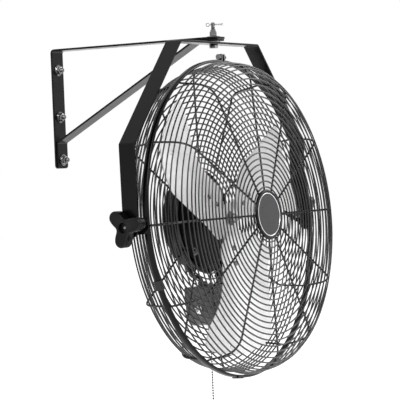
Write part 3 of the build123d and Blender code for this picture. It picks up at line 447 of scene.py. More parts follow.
class Workpiece:
    """A mesh in the making, in millimetres of the place it is set in."""

    def __init__(self) -> None:
        """Start with an empty mesh."""
        self.bm = bmesh.new()

    def turn(
        self, profile: Sequence[Point2], steps: int = 64, closed: bool = True, at: Matrix | None = None
    ) -> None:
        """Spin a profile of radius and height about the local z axis.

        Args:
            profile: Radius and height of each point.
            steps: Number of steps in the full turn.
            closed: Whether the last point joins the first.
            at: Placement of the turned shape.
        """
        points = [self.bm.verts.new((radius, 0.0, height)) for radius, height in profile]
        edges = [self.bm.edges.new(pair) for pair in zip(points, points[1:])]
        if closed:
            edges.append(self.bm.edges.new((points[-1], points[0])))
        self._spin(points, edges, steps, at)

    def loop(self, radius: float, height: float, wire: float, steps: int = 96, sides: int = 8) -> None:
        """Spin a round wire into a hoop about the local z axis.

        Args:
            radius: Radius of the hoop.
            height: Its height.
            wire: Diameter of the wire.
            steps: Number of steps in the full turn.
            sides: Number of sides of the wire's section.
        """
        lie = Matrix.Translation((radius, 0.0, height)) @ Matrix.Rotation(math.pi / 2, 4, "X")
        made = bmesh.ops.create_circle(self.bm, segments=sides, radius=wire / 2, matrix=lie)
        edges = list({edge for vert in made["verts"] for edge in vert.link_edges})
        self._spin(made["verts"], edges, steps, None)

    def _spin(self, verts: list, edges: list, steps: int, at: Matrix | None) -> None:
        """Spin a section a full turn about the local z axis, then place it.

        Args:
            verts: The section's vertices.
            edges: Its edges.
            steps: Number of steps in the full turn.
            at: Placement of the turned shape.
        """
        before = set(self.bm.verts) - set(verts)
        bmesh.ops.spin(
            self.bm, geom=[*verts, *edges], cent=(0, 0, 0), axis=(0, 0, 1), angle=2 * math.pi, steps=steps,
            use_merge=True,
        )
        bmesh.ops.remove_doubles(self.bm, verts=self._since(before), dist=MERGE_DISTANCE)
        if at is not None:
            bmesh.ops.transform(self.bm, matrix=at, verts=self._since(before))

    def _since(self, before: set) -> list:
        """Return the vertices that were added since a set of them was taken."""
        return [vert for vert in self.bm.verts if vert not in before]

    def prism(
        self, outline: Sequence[Point2], height: float, at: Matrix | None = None, chamfer: float = 0.0,
        segments: int = 2,
    ) -> None:
        """Extrude a flat outline along the local z axis and round its rim edges.

        Args:
            outline: Points of the outline, in order.
            height: Height of the prism.
            at: Placement of the prism.
            chamfer: Width of the rounded rim, or 0 to leave it sharp.
            segments: Number of steps in the rounded rim.
        """
        before = set(self.bm.verts)
        base = self.bm.faces.new([self.bm.verts.new((x, y, 0.0)) for x, y in outline])
        grown = bmesh.ops.extrude_face_region(self.bm, geom=[base])["geom"]
        top = [item for item in grown if isinstance(item, bmesh.types.BMVert)]
        bmesh.ops.translate(self.bm, vec=(0.0, 0.0, height), verts=top)
        if chamfer:
            made = set(self._since(before))
            rim = [edge for edge in self.bm.edges if edge.verts[0] in made and self._is_level(edge)]
            self.round_edges(rim, chamfer, segments)
        if at is not None:
            bmesh.ops.transform(self.bm, matrix=at, verts=self._since(before))

    @staticmethod
    def _is_level(edge: bmesh.types.BMEdge) -> bool:
        """Return whether both ends of an edge are at one height."""
        return abs(edge.verts[0].co.z - edge.verts[1].co.z) < LEVEL

    def level_edges(self) -> list:
        """Return the edges that lie across the local z axis."""
        return [edge for edge in self.bm.edges if self._is_level(edge)]

    def round_edges(self, edges: list, width: float, segments: int) -> None:
        """Round edges off.

        Args:
            edges: The edges.
            width: Distance from an edge at which its rounding begins.
            segments: Number of steps in the rounding.
        """
        bmesh.ops.bevel(
            self.bm, geom=edges, offset=width, segments=segments, profile=0.5, affect="EDGES", material=-1,
            clamp_overlap=True,
        )

    def stack(self, loops: Sequence[tuple[Sequence[Point2], float]], at: Matrix) -> None:
        """Grow a face through flat loops with equal numbers of points.

        Args:
            loops: Points and height of each loop, from the first face to the last.
            at: Placement of the stack.
        """
        before = set(self.bm.verts)
        points, height = loops[0]
        base = self.bm.faces.new([self.bm.verts.new((x, y, height)) for x, y in points])
        grown = bmesh.ops.extrude_face_region(self.bm, geom=[base], use_keep_orig=True)["geom"]
        face = next(item for item in grown if isinstance(item, bmesh.types.BMFace))
        for number, (points, height) in enumerate(loops[1:]):
            if number:
                bmesh.ops.inset_individual(self.bm, faces=[face], thickness=0.0)
            for vert, (x, y) in zip(face.verts, points):
                vert.co = (x, y, height)
        bmesh.ops.transform(self.bm, matrix=at, verts=self._since(before))

    def wires(self, lines: Iterable[Sequence[Vector]], radius: float, sides: int = 2) -> None:
        """Sweep a round wire along lines.

        Args:
            lines: Points of each centre line.
            radius: Radius of the wire.
            sides: Bevel resolution of its section.
        """
        curve = bpy.data.curves.new("wire_lines", "CURVE")
        curve.dimensions = "3D"
        curve.bevel_depth = radius
        curve.bevel_resolution = sides
        curve.use_fill_caps = True
        for line in lines:
            spline = curve.splines.new("POLY")
            spline.points.add(len(line) - 1)
            for point, spot in zip(spline.points, line):
                point.co = (*spot, 1.0)
        holder = bpy.data.objects.new("wire_lines", curve)
        mesh = bpy.data.meshes.new_from_object(holder)
        self.bm.from_mesh(mesh)
        bpy.data.objects.remove(holder)
        bpy.data.curves.remove(curve)
        bpy.data.meshes.remove(mesh)

    def finish(
        self,
        name: str,
        body: Body,
        slot: str,
        place: Matrix = WORLD,
        replaces: Iterable[str] = (),
        angle: float = 35.0,
    ) -> bpy.types.Object:
        """Turn the work into a piece of the fan.

        Args:
            name: Name of the piece.
            body: The body it rides on.
            slot: Slot that its finish comes from.
            place: Matrix from the work's millimetres to the model's metres.
            replaces: CAD nodes that it stands for.
            angle: Edges that turn by more than this stay crisp, in degrees.

        Returns:
            The new object.
        """
        bmesh.ops.transform(self.bm, matrix=place, verts=self.bm.verts[:])
        bmesh.ops.recalc_face_normals(self.bm, faces=self.bm.faces[:])
        for face in self.bm.faces:
            face.smooth = True
        for edge in self.bm.edges:
            edge.smooth = len(edge.link_faces) < 2 or edge.calc_face_angle(0.0) < math.radians(angle)
        mesh = bpy.data.meshes.new(name)
        self.bm.to_mesh(mesh)
        self.bm.free()
        return adopt(bpy.data.objects.new(name, mesh), body, slot, replaces)


# --- Camera, floor and light ----------------------------------------------------------------------------

WHITE = (1.0, 1.0, 1.0, 1.0)


@dataclass(frozen=True)
class View:
    """The photograph's camera.

    Attributes:
        spot: Where it stands, in metres.
        forward: The way it looks.
        roll: Its roll about that way, in degrees.
        lens: Focal length on the sensor, in millimetres.
        sensor: Sensor width, in millimetres.
        reach: Nearest and furthest distance that it sees, in metres.
    """

    spot: Point3 = (-2.8146, -2.0255, -0.0936)
    forward: Point3 = (0.8508, 0.5251, -0.0183)
    roll: float = -2.34
    lens: float = 175.1
    sensor: float = 36.0
    reach: Point2 = (0.05, 60.0)

    def build(self) -> None:
        """Create the scene's camera."""
        data = bpy.data.cameras.new("camera")
        data.lens, data.sensor_width, data.sensor_fit = self.lens, self.sensor, "AUTO"
        data.clip_start, data.clip_end = self.reach
        camera = bpy.data.objects.new("camera", data)
        forward = Vector(self.forward).normalized()
        right = forward.cross(Vector((0, 0, 1))).normalized()
        up = right.cross(forward)
        roll = math.radians(self.roll)
        level = right * math.cos(roll) + up * math.sin(roll)
        upright = up * math.cos(roll) - right * math.sin(roll)
        turn = Matrix((level, upright, -forward)).transposed().to_4x4()
        camera.matrix_world = Matrix.Translation(self.spot) @ turn
        bpy.context.scene.collection.objects.link(camera)
        bpy.context.scene.camera = camera


@dataclass(frozen=True)
class Softbox:
    """A square area lamp aimed at the fan.

    Attributes:
        name: Name of the lamp.
        spot: Where it stands, in metres.
        power: Its power, in watts.
        size: Length of its sides, in metres.
        aim: The point that it faces, in metres.
    """

    name: str
    spot: Point3
    power: float
    size: float
    aim: Point3 = (0.0, -0.3, -0.15)

    def build(self) -> None:
        """Create the lamp."""
        data = bpy.data.lights.new(self.name, "AREA")
        data.energy, data.size = self.power, self.size
        lamp = bpy.data.objects.new(self.name, data)
        turn = (Vector(self.aim) - Vector(self.spot)).to_track_quat("-Z", "Y").to_matrix().to_4x4()
        lamp.matrix_world = Matrix.Translation(self.spot) @ turn
        bpy.context.scene.collection.objects.link(lamp)


@dataclass(frozen=True)
class Studio:
    """Pale floor, white surround and soft lamps.

    Attributes:
        floor_height: Height of the floor, in metres.
        floor_size: Length of its sides, in metres.
        floor_tiles: Number of squares along a side.
        floor_tone: Its grey.
        floor_glow: White that the eye sees it add.
        ambient: Strength of the surround's light on surfaces.
        backdrop: Strength of the surround to the eye and in reflections.
        lamps: The soft lamps.
    """

    floor_height: float = -0.75
    floor_size: float = 24.0
    floor_tiles: int = 8
    floor_tone: float = 0.80
    floor_glow: float = 0.80
    ambient: float = 0.42
    backdrop: float = 1.0
    lamps: tuple[Softbox, ...] = (
        Softbox("key", (-2.2, -2.6, 2.2), 95.0, 1.6),
        Softbox("front", (1.6, -3.0, 0.2), 15.0, 2.0),
        Softbox("rim", (2.4, -1.4, 1.4), 26.0, 1.6),
    )

    def build(self) -> None:
        """Create the surround, the floor and the lamps."""
        self._surround()
        self._floor()
        for lamp in self.lamps:
            lamp.build()

    @staticmethod
    def _seen(tree: Tree) -> Socket:
        """Add a factor that is one for camera, glossy and transmission rays.

        Args:
            tree: The node tree.

        Returns:
            The socket of the factor.
        """
        path = tree.nodes.new("ShaderNodeLightPath")
        total = path.outputs["Is Camera Ray"]
        for name in ("Is Glossy Ray", "Is Transmission Ray"):
            total = calculate(tree, "MAXIMUM", total, path.outputs[name])
        return total

    def _surround(self) -> None:
        """Make the world white to the eye and softer to the surfaces."""
        world = bpy.data.worlds.new("surround")
        bpy.context.scene.world = world
        world.use_nodes = True
        tree = world.node_tree
        tree.nodes.clear()
        output, mix = tree.nodes.new("ShaderNodeOutputWorld"), tree.nodes.new("ShaderNodeMixShader")
        for place, strength in enumerate((self.ambient, self.backdrop), start=1):
            light = tree.nodes.new("ShaderNodeBackground")
            light.inputs["Color"].default_value = WHITE
            light.inputs["Strength"].default_value = strength
            tree.links.new(light.outputs["Background"], mix.inputs[place])
        tree.links.new(self._seen(tree), mix.inputs["Fac"])
        tree.links.new(mix.outputs["Shader"], output.inputs["Surface"])

    def _floor(self) -> None:
        """Make the pale floor below the fan."""
        work = bmesh.new()
        bmesh.ops.create_grid(
            work, x_segments=self.floor_tiles, y_segments=self.floor_tiles, size=self.floor_size / 2,
            matrix=Matrix.Translation((0.0, 0.0, self.floor_height)),
        )
        mesh = bpy.data.meshes.new("floor")
        work.to_mesh(mesh)
        work.free()
        floor = bpy.data.objects.new("floor", mesh)
        bpy.context.scene.collection.objects.link(floor)
        mesh.materials.append(self._floor_finish())

    def _floor_finish(self) -> bpy.types.Material:
        """Return a matte grey that glows to the eye and still takes shadows.

        Returns:
            The floor's material.
        """
        material = bpy.data.materials.new("floor_white")
        material.use_nodes = True
        tree = material.node_tree
        tree.nodes.clear()
        output, both = tree.nodes.new("ShaderNodeOutputMaterial"), tree.nodes.new("ShaderNodeAddShader")
        matte, glow = tree.nodes.new("ShaderNodeBsdfDiffuse"), tree.nodes.new("ShaderNodeEmission")
        matte.inputs["Color"].default_value = (self.floor_tone, self.floor_tone, self.floor_tone, 1.0)
        glow.inputs["Color"].default_value = WHITE
        level = calculate(tree, "MULTIPLY", self._seen(tree), self.floor_glow)
        tree.links.new(level, glow.inputs["Strength"])
        tree.links.new(matte.outputs["BSDF"], both.inputs[0])
        tree.links.new(glow.outputs["Emission"], both.inputs[1])
        tree.links.new(both.outputs["Shader"], output.inputs["Surface"])
        return material


# --- Cords ----------------------------------------------------------------------------------------------


def route_line(name: str, route: Sequence[Vector]) -> bpy.types.Object:
    """Return a smooth open curve along a cord's route.

    Args:
        name: Name of the curve.
        route: Its control points, in metres.

    Returns:
        The curve's object, which is in no scene yet.
    """
    curve = bpy.data.curves.new(name, "CURVE")
    curve.dimensions = "3D"
    curve.resolution_u = 16
    spline = curve.splines.new("NURBS")
    spline.points.add(len(route) - 1)
    for point, spot in zip(spline.points, route):
        point.co = (*spot, 1.0)
    spline.order_u = 3
    spline.use_endpoint_u = True
    return bpy.data.objects.new(name, curve)


@dataclass(frozen=True)
class PullChain:
    """The ball chain that hangs from the switch, and the bell on its end.

    Attributes:
        top: Where it leaves the switch, in metres.
        length: Hanging length, in metres.
        bead: Bead diameter, in metres.
        gap: Distance between beads, in metres.
        link: Radius of the wire that links the beads, in metres.
        stations: Places of the route's points, as shares of its length.
        bell: Radius and height of the bell's profile, in millimetres from the chain's end.
    """

    top: Point3 = (0.034, -0.27797, -0.36023)
    length: float = 0.190
    bead: float = 0.0032
    gap: float = 0.0045
    link: float = 0.00034
    stations: tuple[float, ...] = (0.0, 0.25, 0.5, 0.75, 1.0)
    bell: tuple[Point2, ...] = (
        (0.0, -0.2), (1.6, -0.2), (2.3, -0.8), (2.4, -1.8), (2.0, -2.6), (2.3, -3.4), (3.2, -5.6),
        (4.2, -8.6), (4.9, -11.6), (5.3, -14.6), (5.4, -16.0), (5.0, -16.8), (4.2, -16.9), (3.9, -16.0),
        (3.5, -13.0), (2.4, -9.6), (0.0, -8.6),
    )

    def build(self) -> None:
        """Make the beads, the thin link wire between them and the bell."""
        path = self._path()
        work = Workpiece()
        work.wires([[spot / MM for spot in path]], self.link / MM, 1)
        beads = int((self.length - self.bead) / self.gap)
        for number in range(beads + 1):
            spot = self._below(self.bead / 2 + number * self.gap) / MM
            bmesh.ops.create_icosphere(
                work.bm, subdivisions=2, radius=self.bead / 2 / MM, matrix=Matrix.Translation(spot)
            )
        chain = work.finish(
            "pull_chain_beads", Body.CHAIN, "chain_metal", replaces=["pull_chain"], angle=60.0
        )
        end = Workpiece()
        end.turn(self.bell, steps=40, closed=False, at=Matrix.Translation(self._below(self.length) / MM))
        bell = end.finish(
            "chain_bell_turned", Body.CHAIN, "chain_metal", replaces=["chain_bell"], angle=45.0
        )

    def _below(self, distance: float) -> Vector:
        """Return the point at a distance below the switch, in metres."""
        return Vector(self.top) - Vector((0.0, 0.0, distance))

    def _path(self) -> list[Vector]:
        """Return the points of the chain's smooth middle line, in metres.

        Returns:
            The points, from the switch to the bell.
        """
        holder = route_line("chain_route", [self._below(self.length * share) for share in self.stations])
        line = bpy.data.meshes.new_from_object(holder)
        path = [vert.co.copy() for vert in line.vertices]
        bpy.data.meshes.remove(line)
        bpy.data.objects.remove(holder)
        return path


@dataclass(frozen=True)
class MotorLead:
    """The short sheathed lead from the motor into the switch box, in millimetres of the head.

    Attributes:
        depth: Depth of the plane it lies in.
        route: Its route points in that plane.
        radius: Radius of the sheath.
        length: Its length, in metres; not used.
    """

    depth: float = -58.0
    route: tuple[Point2, ...] = ((-20.11, -75.05), (-24.77, -92.44), (14.0, -92.0), (14.0, -112.2))
    radius: float = 3.5
    length: float = 0.061

    def build(self) -> None:
        route = [HEAD.point(x, y, self.depth) for x, y in self.route]
        piece = route_line("motor_lead_cable", route)
        piece.data.bevel_depth = self.radius * MM
        piece.data.bevel_resolution = 4
        piece.data.use_fill_caps = True
        adopt(piece, Body.HEAD, "lead_sheath", ["motor_lead"])


# --- Cage -----------------------------------------------------------------------------------------------


def rounding(before: Vector, corner: Vector, after: Vector, steps: int) -> list[Vector]:
    """Return the points of a curve that rounds a corner.

    Args:
        before: Where the curve leaves the first straight.
        corner: The corner.
        after: Where it joins the second straight.
        steps: Number of steps in the curve.

    Returns:
        The points, with both ends.
    """
    shares = [k / steps for k in range(steps + 1)]
    return [before * (1 - t) ** 2 + corner * (2 * t * (1 - t)) + after * t**2 for t in shares]


@dataclass(frozen=True)
class Grille:
    """One half of the wire cage, in millimetres of the head.

    Attributes:
        name: Name of the half.
        start: Radius and depth of a spoke's inner end.
        corner: Radius and depth of the corner between face and side.
        end: Radius and depth of a spoke's outer end, at the rim.
        facing: 1 if the face looks forward, -1 if it looks back.
        rim: Centre radius and depth of the rim's wire.
        nodes: CAD nodes that it stands for.
        spokes: Number of spokes.
        spoke_wire: Wire diameter of a spoke and of the rim.
        hoop_wire: Wire diameter of a hoop.
        weld: How far a hoop sinks into the spokes.
        bend: Distance from the corner at which its bend begins.
        pitch: Distance between hoops along a spoke.
        side_pitch: Distance between hoops on the cage's side.
        first: Distance of the first hoop from the spoke's inner end.
        steps: Number of steps on a spoke's face, bend and side.
    """

    name: str
    start: Point2
    corner: Point2
    end: Point2
    facing: int
    rim: Point2
    nodes: tuple[str, ...]
    spokes: int = 12
    spoke_wire: float = 3.4
    hoop_wire: float = 2.7
    weld: float = 0.3
    bend: float = 30.0
    pitch: float = 9.6
    side_pitch: float = 8.6
    first: float = 12.0
    steps: tuple[int, int, int] = (6, 10, 3)

    def centreline(self, inset: float) -> list[Vector]:
        """Return a spoke's line, moved in from the cage's outer surface.

        Args:
            inset: How far it is moved in.

        Returns:
            Radius and depth of the line's points, from the middle to the rim.
        """
        start, corner, end = (Vector(point) for point in (self.start, self.corner, self.end))
        before = corner + (start - corner).normalized() * self.bend
        after = corner + (end - corner).normalized() * self.bend
        face, turn, side = self.steps
        line = [start + (before - start) * (k / face) for k in range(face)]
        line += rounding(before, corner, after, turn)
        line += [after + (end - after) * (k / side) for k in range(1, side + 1)]
        moved = []
        for number, spot in enumerate(line):
            ahead = line[min(number + 1, len(line) - 1)] - line[max(number - 1, 0)]
            inward = Vector((ahead.y, -ahead.x)).normalized() * self.facing
            moved.append(spot + inward * inset)
        return moved

    def hoop_seats(self) -> list[Vector]:
        """Place the hoops at even pitches, outside the front spokes and inside the rear ones.

        Returns:
            Radius and depth of every hoop.
        """
        outside = self.weld - self.hoop_wire / 2
        inside = self.spoke_wire + self.hoop_wire / 2 - self.weld
        line = self.centreline(outside if self.facing > 0 else inside)
        seats: list[Vector] = []
        travelled, due = 0.0, self.first
        for spot, following in zip(line, line[1:]):
            step = following - spot
            while due <= travelled + step.length:
                seats.append(spot + step * ((due - travelled) / step.length))
                due += self.side_pitch if abs(step.y) > abs(step.x) else self.pitch
            travelled += step.length
        return seats[:-1]

    def build(self) -> None:
        """Make the spokes with their rim, and the hoops, as two pieces."""
        line, place = self.centreline(self.spoke_wire / 2), HEAD.matrix()
        spokes = []
        for number in range(self.spokes):
            angle = 2 * math.pi * number / self.spokes
            across, up = -math.sin(angle), math.cos(angle)
            spokes.append([Vector((across * spot.x, up * spot.x, spot.y)) for spot in line])
        frame = Workpiece()
        frame.wires(spokes, self.spoke_wire / 2)
        frame.loop(*self.rim, self.spoke_wire, steps=128, sides=10)
        frame.finish(f"{self.name}_spokes", Body.HEAD, "grille_wire", place, self.nodes[:1], angle=60.0)
        hoops = Workpiece()
        for hoop in self.hoop_seats():
            hoops.loop(*hoop, self.hoop_wire, steps=96, sides=6)
        hoops.finish(f"{self.name}_hoop_wires", Body.HEAD, "grille_wire", place, self.nodes[1:], angle=80.0)


@dataclass(frozen=True)
class ClampRing:
    """The channel-section band that holds both grilles' rims, in millimetres of the head.

    Attributes:
        radius: Outside radius.
        width: Width along the shaft.
        middle: Depth of its mid plane.
        wall: Sheet thickness.
        lip: Height of its lips.
        bend: Distance from an outer corner at which its bend begins.
        bend_cut: How far the bend's middle stands in from both faces.
        split: Width of its split.
        split_angle: Place of the split, in degrees from the head's +x.
        steps: Number of steps round the band.
    """

    radius: float = 268.0
    width: float = 10.0
    middle: float = 25.0
    wall: float = 1.4
    lip: float = 4.5
    bend: float = 1.6
    bend_cut: float = 0.5
    split: float = 4.0
    split_angle: float = 87.5
    steps: int = 192

    def _section(self) -> list[Point2]:
        """Return the channel's section.

        Returns:
            Radius of its points, and their distance from the mid plane.
        """
        half, inner, outer, wall = self.width / 2, self.radius - self.lip, self.radius, self.wall
        front = [
            (inner, half), (outer - self.bend, half), (outer - self.bend_cut, half - self.bend_cut),
            (outer, half - self.bend),
        ]
        hollow = [(inner, half - wall), (outer - wall, half - wall)]
        back, under = ([(out, -up) for out, up in half_of] for half_of in (front, hollow))
        return [*front, *reversed(back), *under, *reversed(hollow)]

    def build(self) -> None:
        """Spin the rounded channel almost all the way round."""
        work = Workpiece()
        section = [(radius, 0.0, self.middle + depth) for radius, depth in self._section()]
        face = work.bm.faces.new([work.bm.verts.new(spot) for spot in section])
        gap = self.split / self.radius
        start = Matrix.Rotation(math.radians(self.split_angle) + gap / 2, 3, "Z")
        bmesh.ops.rotate(work.bm, cent=(0, 0, 0), matrix=start, verts=face.verts[:])
        bmesh.ops.spin(
            work.bm, geom=[face, *face.edges, *face.verts], cent=(0, 0, 0), axis=(0, 0, 1),
            angle=2 * math.pi - gap, steps=self.steps,
        )
        work.finish("clamp_ring_band", Body.HEAD, "black_enamel", HEAD.matrix(), ["clamp_ring"], angle=50.0)


@dataclass(frozen=True)
class Badge:
    """The plain pressed disc in the middle of the front grille, in millimetres of the head.

    Attributes:
        radius: Outside radius.
        face: Depth of its foremost ring.
        rim: Profile of the dark rim, measured in from the radius and back from the face.
        line: Centre of the bright line's wire, measured in the same way.
        line_wire: Diameter of that wire.
        disc_edge: How far the grey disc's edge stands in from the radius.
        disc: Radius of the disc's dished points, and how far each stands back from the face.
        disc_back: How far the disc's edge and its back stand back from the face.
        steps: Number of steps round the badge.
    """

    radius: float = 42.0
    face: float = 96.0
    rim: tuple[Point2, ...] = (
        (6.2, 1.4), (5.4, 0.4), (4.2, 0.0), (2.4, 0.1), (0.8, 0.9), (0.0, 2.2), (0.0, 4.0), (8.0, 4.0),
        (8.0, 2.4),
    )
    line: Point2 = (6.6, 1.3)
    line_wire: float = 1.5
    disc_edge: float = 7.2
    disc: tuple[Point2, ...] = ((0.0, 1.0), (12.0, 1.05), (24.0, 1.25))
    disc_back: Point2 = (1.6, 3.6)
    steps: int = 96

    def build(self) -> None:
        """Turn the dark rim, the bright line and the bare grey face."""
        rim = Workpiece()
        rim.turn([(self.radius - inset, self.face - back) for inset, back in self.rim], steps=self.steps)
        rim.finish("badge_rim", Body.HEAD, "black_enamel", HEAD.matrix(), ["centre_badge"], angle=40.0)
        line = Workpiece()
        line.loop(
            self.radius - self.line[0], self.face - self.line[1], self.line_wire, steps=self.steps, sides=10
        )
        line.finish("badge_bright_line", Body.HEAD, "chrome_trim", HEAD.matrix(), angle=60.0)
        edge = self.radius - self.disc_edge
        front, back = self.disc_back
        shape = [*self.disc, (edge, front), (edge, back), (0.0, back)]
        disc = Workpiece()
        disc.turn([(radius, self.face - depth) for radius, depth in shape], steps=self.steps, closed=False)
        disc.finish("badge_face", Body.HEAD, "badge", HEAD.matrix(), angle=40.0)


# --- Rotor ----------------------------------------------------------------------------------------------

LONGEST_ROUNDING = 0.49  # share of a side that the rounding of its corner may take
SOLVER_ROUNDS = 8  # enough for the depth of a blade's section to settle


def rounded_outline(points: Sequence[Point2], reaches: Sequence[float], steps: int = 7) -> list[Point2]:
    """Round each corner of a closed outline.

    Args:
        points: Corners of the outline, in order.
        reaches: How far from each corner its rounding may begin.
        steps: Number of steps in each rounding.

    Returns:
        The rounded outline's points.
    """
    corners = [Vector(point) for point in points]
    made: list[Point2] = []
    for number, (corner, reach) in enumerate(zip(corners, reaches)):
        ends = []
        for neighbour in (corners[number - 1], corners[(number + 1) % len(corners)]):
            side = neighbour - corner
            ends.append(corner + side.normalized() * min(reach, side.length * LONGEST_ROUNDING))
        made += [tuple(spot) for spot in rounding(ends[0], corner, ends[1], steps)]
    return made


@dataclass(frozen=True)
class Blade:
    """One pressed blade, lying along the head's +x before it is turned to its angle, in millimetres.

    Attributes:
        number: Number of the blade.
        angle: Its place round the shaft, in degrees.
        pitch: Pitch of the section, in degrees.
        chord: Width of the section arc.
        camber: Rise of the section arc.
        depth: Depth of the section arc's middle.
        sheet: Sheet thickness.
        flange: How far the trailing side drops before it runs flat.
        fade: Distance across the blade over which it drops.
        outline: Corners of the flat blank, along and across the blade.
        corners: How far from each corner its rounding begins.
        cuts: Where the blank is divided so that it can bend, along and across the blade.
        edge: Width of the rounded edges.
        crisp: Edges that turn by more than this are rounded, in degrees.
    """

    number: int
    angle: float
    pitch: float = 14.8
    chord: float = 250.0
    camber: float = 15.6
    depth: float = 19.4
    sheet: float = 1.6
    flange: float = 4.0
    fade: float = 15.0
    outline: tuple[Point2, ...] = (
        (30.0, -14.0), (44.0, -37.0), (68.0, -35.0), (106.0, -39.0), (140.0, -55.0), (178.0, -100.0),
        (206.0, -118.0), (222.0, -76.0), (229.0, -18.3), (227.0, 22.0), (208.4, 62.0), (84.0, 67.0),
        (63.0, 77.0), (36.0, 56.0), (26.0, 30.0),
    )
    corners: tuple[float, ...] = (
        3.0, 10.0, 12.0, 30.0, 40.0, 16.0, 9.0, 60.0, 60.0, 60.0, 16.0, 12.0, 14.0, 12.0, 3.0,
    )
    cuts: tuple[range, range] = (range(34, 228, 8), range(-115, 76, 5))
    edge: float = 0.5
    crisp: float = 50.0

    def section(self, across: float) -> float:
        """Return the depth of the sheet's back.

        Args:
            across: Distance across the blade, negative on the trailing side.

        Returns:
            The depth in the head.
        """
        if across < 0.0:
            return self.depth - self.flange * (1.0 - math.exp(across / self.fade))
        radius = (self.chord**2 / 4 + self.camber**2) / (2 * self.camber)
        pitch = math.radians(self.pitch)
        along = rise = 0.0
        for _ in range(SOLVER_ROUNDS):
            along = (across + math.sin(pitch) * rise) / math.cos(pitch)
            rise = radius - math.sqrt(radius**2 - along**2)
        return self.depth + along * math.sin(pitch) + rise * math.cos(pitch)

    def build(self) -> None:
        """Cut the flat blank, press it to its section and give it its thickness."""
        work = Workpiece()
        blank = rounded_outline(self.outline, self.corners)
        work.bm.faces.new([work.bm.verts.new((x, y, 0.0)) for x, y in blank])
        for places, normal in zip(self.cuts, (Vector((1.0, 0.0, 0.0)), Vector((0.0, 1.0, 0.0)))):
            for place in places:
                everything = [*work.bm.verts, *work.bm.edges, *work.bm.faces]
                bmesh.ops.bisect_plane(work.bm, geom=everything, plane_co=normal * place, plane_no=normal)
        for vert in work.bm.verts:
            vert.co.z = self.section(vert.co.y)
        bmesh.ops.recalc_face_normals(work.bm, faces=work.bm.faces[:])
        if sum(face.normal.z for face in work.bm.faces) < 0:
            bmesh.ops.reverse_faces(work.bm, faces=work.bm.faces[:])
        bmesh.ops.solidify(work.bm, geom=work.bm.faces[:], thickness=-self.sheet)
        turn = Matrix.Rotation(math.radians(self.angle), 4, "Z")
        bmesh.ops.transform(work.bm, matrix=turn, verts=work.bm.verts[:])
        name = f"blade_{self.number}"
        piece = work.finish(
            f"{name}_sheet", Body.ROTOR, "blade_metal", HEAD.matrix(), [name], angle=self.crisp
        )
        rounded = piece.modifiers.new("edge", "BEVEL")
        rounded.width, rounded.segments, rounded.limit_method = self.edge * MM, 2, "ANGLE"
        rounded.angle_limit = math.radians(self.crisp)


@dataclass(frozen=True)
class Rotor:
    """The blades on the shaft.

    Attributes:
        first_angle: Place of the first blade, in degrees.
        count: Number of blades.
    """

    first_angle: float = 30.0
    count: int = 3

    def angles(self) -> list[float]:
        """Return the place of every blade round the shaft, in degrees."""
        return [self.first_angle + 360.0 / self.count * number for number in range(self.count)]

    def build(self) -> None:
        """Make every blade."""
        for number, angle in enumerate(self.angles(), start=1):
            Blade(number, angle).build()


# --- Hardware -------------------------------------------------------------------------------------------

SUNK = 0.1  # how far one shape sinks into the next, in millimetres
BORE_PLAY = 0.5  # how much wider than its bolt a washer's bore is, as a radius in millimetres
BROKEN_EDGE = 0.3  # widest broken edge of a washer, in millimetres
HEX_CHAMFER = 0.07  # chamfer of a hexagon, as a share of its width
THREAD_FOOT = (0.6, 0.5)  # width and height of the cone at a thread's foot, in millimetres
THREAD_TIP = 0.8  # width and height of the cone at its tip, in millimetres
GROOVE = ((0.35, 0.0), (0.7, 0.38), (1.0, 0.0))  # height and depth in one groove, as shares of its pitch
# Profiles of a domed head and of its top, as shares of the head's radius and height.
DOME = ((0.0, 0.0), (1.0, 0.0), (1.0, 0.25), (0.86, 0.62), (0.6, 0.9))
PLAIN_TOP = ((0.3, 1.0), (0.0, 1.0))
RECESSED_TOP = ((0.38, 1.0), (0.3, 0.55), (0.0, 0.5))
FROM_WALL = (0.0, -1.0, 0.0)


def polygon(radius: float, sides: int) -> list[Point2]:
    """Return a regular polygon's points, the first of them on +x.

    Args:
        radius: Distance of its corners from the middle.
        sides: Number of sides.

    Returns:
        Its corners, in order.
    """
    angles = [2 * math.pi * k / sides for k in range(sides)]
    return [(radius * math.cos(angle), radius * math.sin(angle)) for angle in angles]


def chamfered_hex(work: Workpiece, across: float, height: float, at: Matrix) -> None:
    """Add a hexagonal head or nut with chamfered rims.

    Args:
        work: What it is added to.
        across: Width across its flats.
        height: Its height.
        at: Placement of its foot.
    """
    work.prism(polygon(across / math.sqrt(3), 6), height, at, chamfer=HEX_CHAMFER * across)


def flat_washer(work: Workpiece, outer: float, bore: float, thick: float, at: Matrix) -> None:
    """Add a turned washer with broken edges.

    Args:
        work: What it is added to.
        outer: Outside radius.
        bore: Radius of the bore.
        thick: Thickness.
        at: Placement of its foot.
    """
    edge = min(BROKEN_EDGE, thick / 3)
    profile = [
        (bore, 0.0), (outer - edge, 0.0), (outer, edge), (outer, thick - edge), (outer - edge, thick),
        (bore + edge, thick), (bore, thick - edge),
    ]
    work.turn(profile, steps=48, at=at)


def thread(work: Workpiece, radius: float, length: float, at: Matrix, pitch: float = 1.25) -> None:
    """Add a threaded length, as grooves turned at the thread's pitch.

    Args:
        work: What it is added to.
        radius: Outside radius.
        length: Length.
        at: Placement of its foot.
        pitch: Distance between the grooves.
    """
    width, height = THREAD_FOOT
    profile: list[Point2] = [(0.0, 0.0), (radius - width, 0.0), (radius, height)]
    while height + 2 * pitch < length:
        profile += [(radius - depth * pitch, height + rise * pitch) for rise, depth in GROOVE]
        height += pitch
    profile += [(radius, length - THREAD_TIP), (radius - THREAD_TIP, length), (0.0, length)]
    work.turn(profile, steps=24, closed=False, at=at)


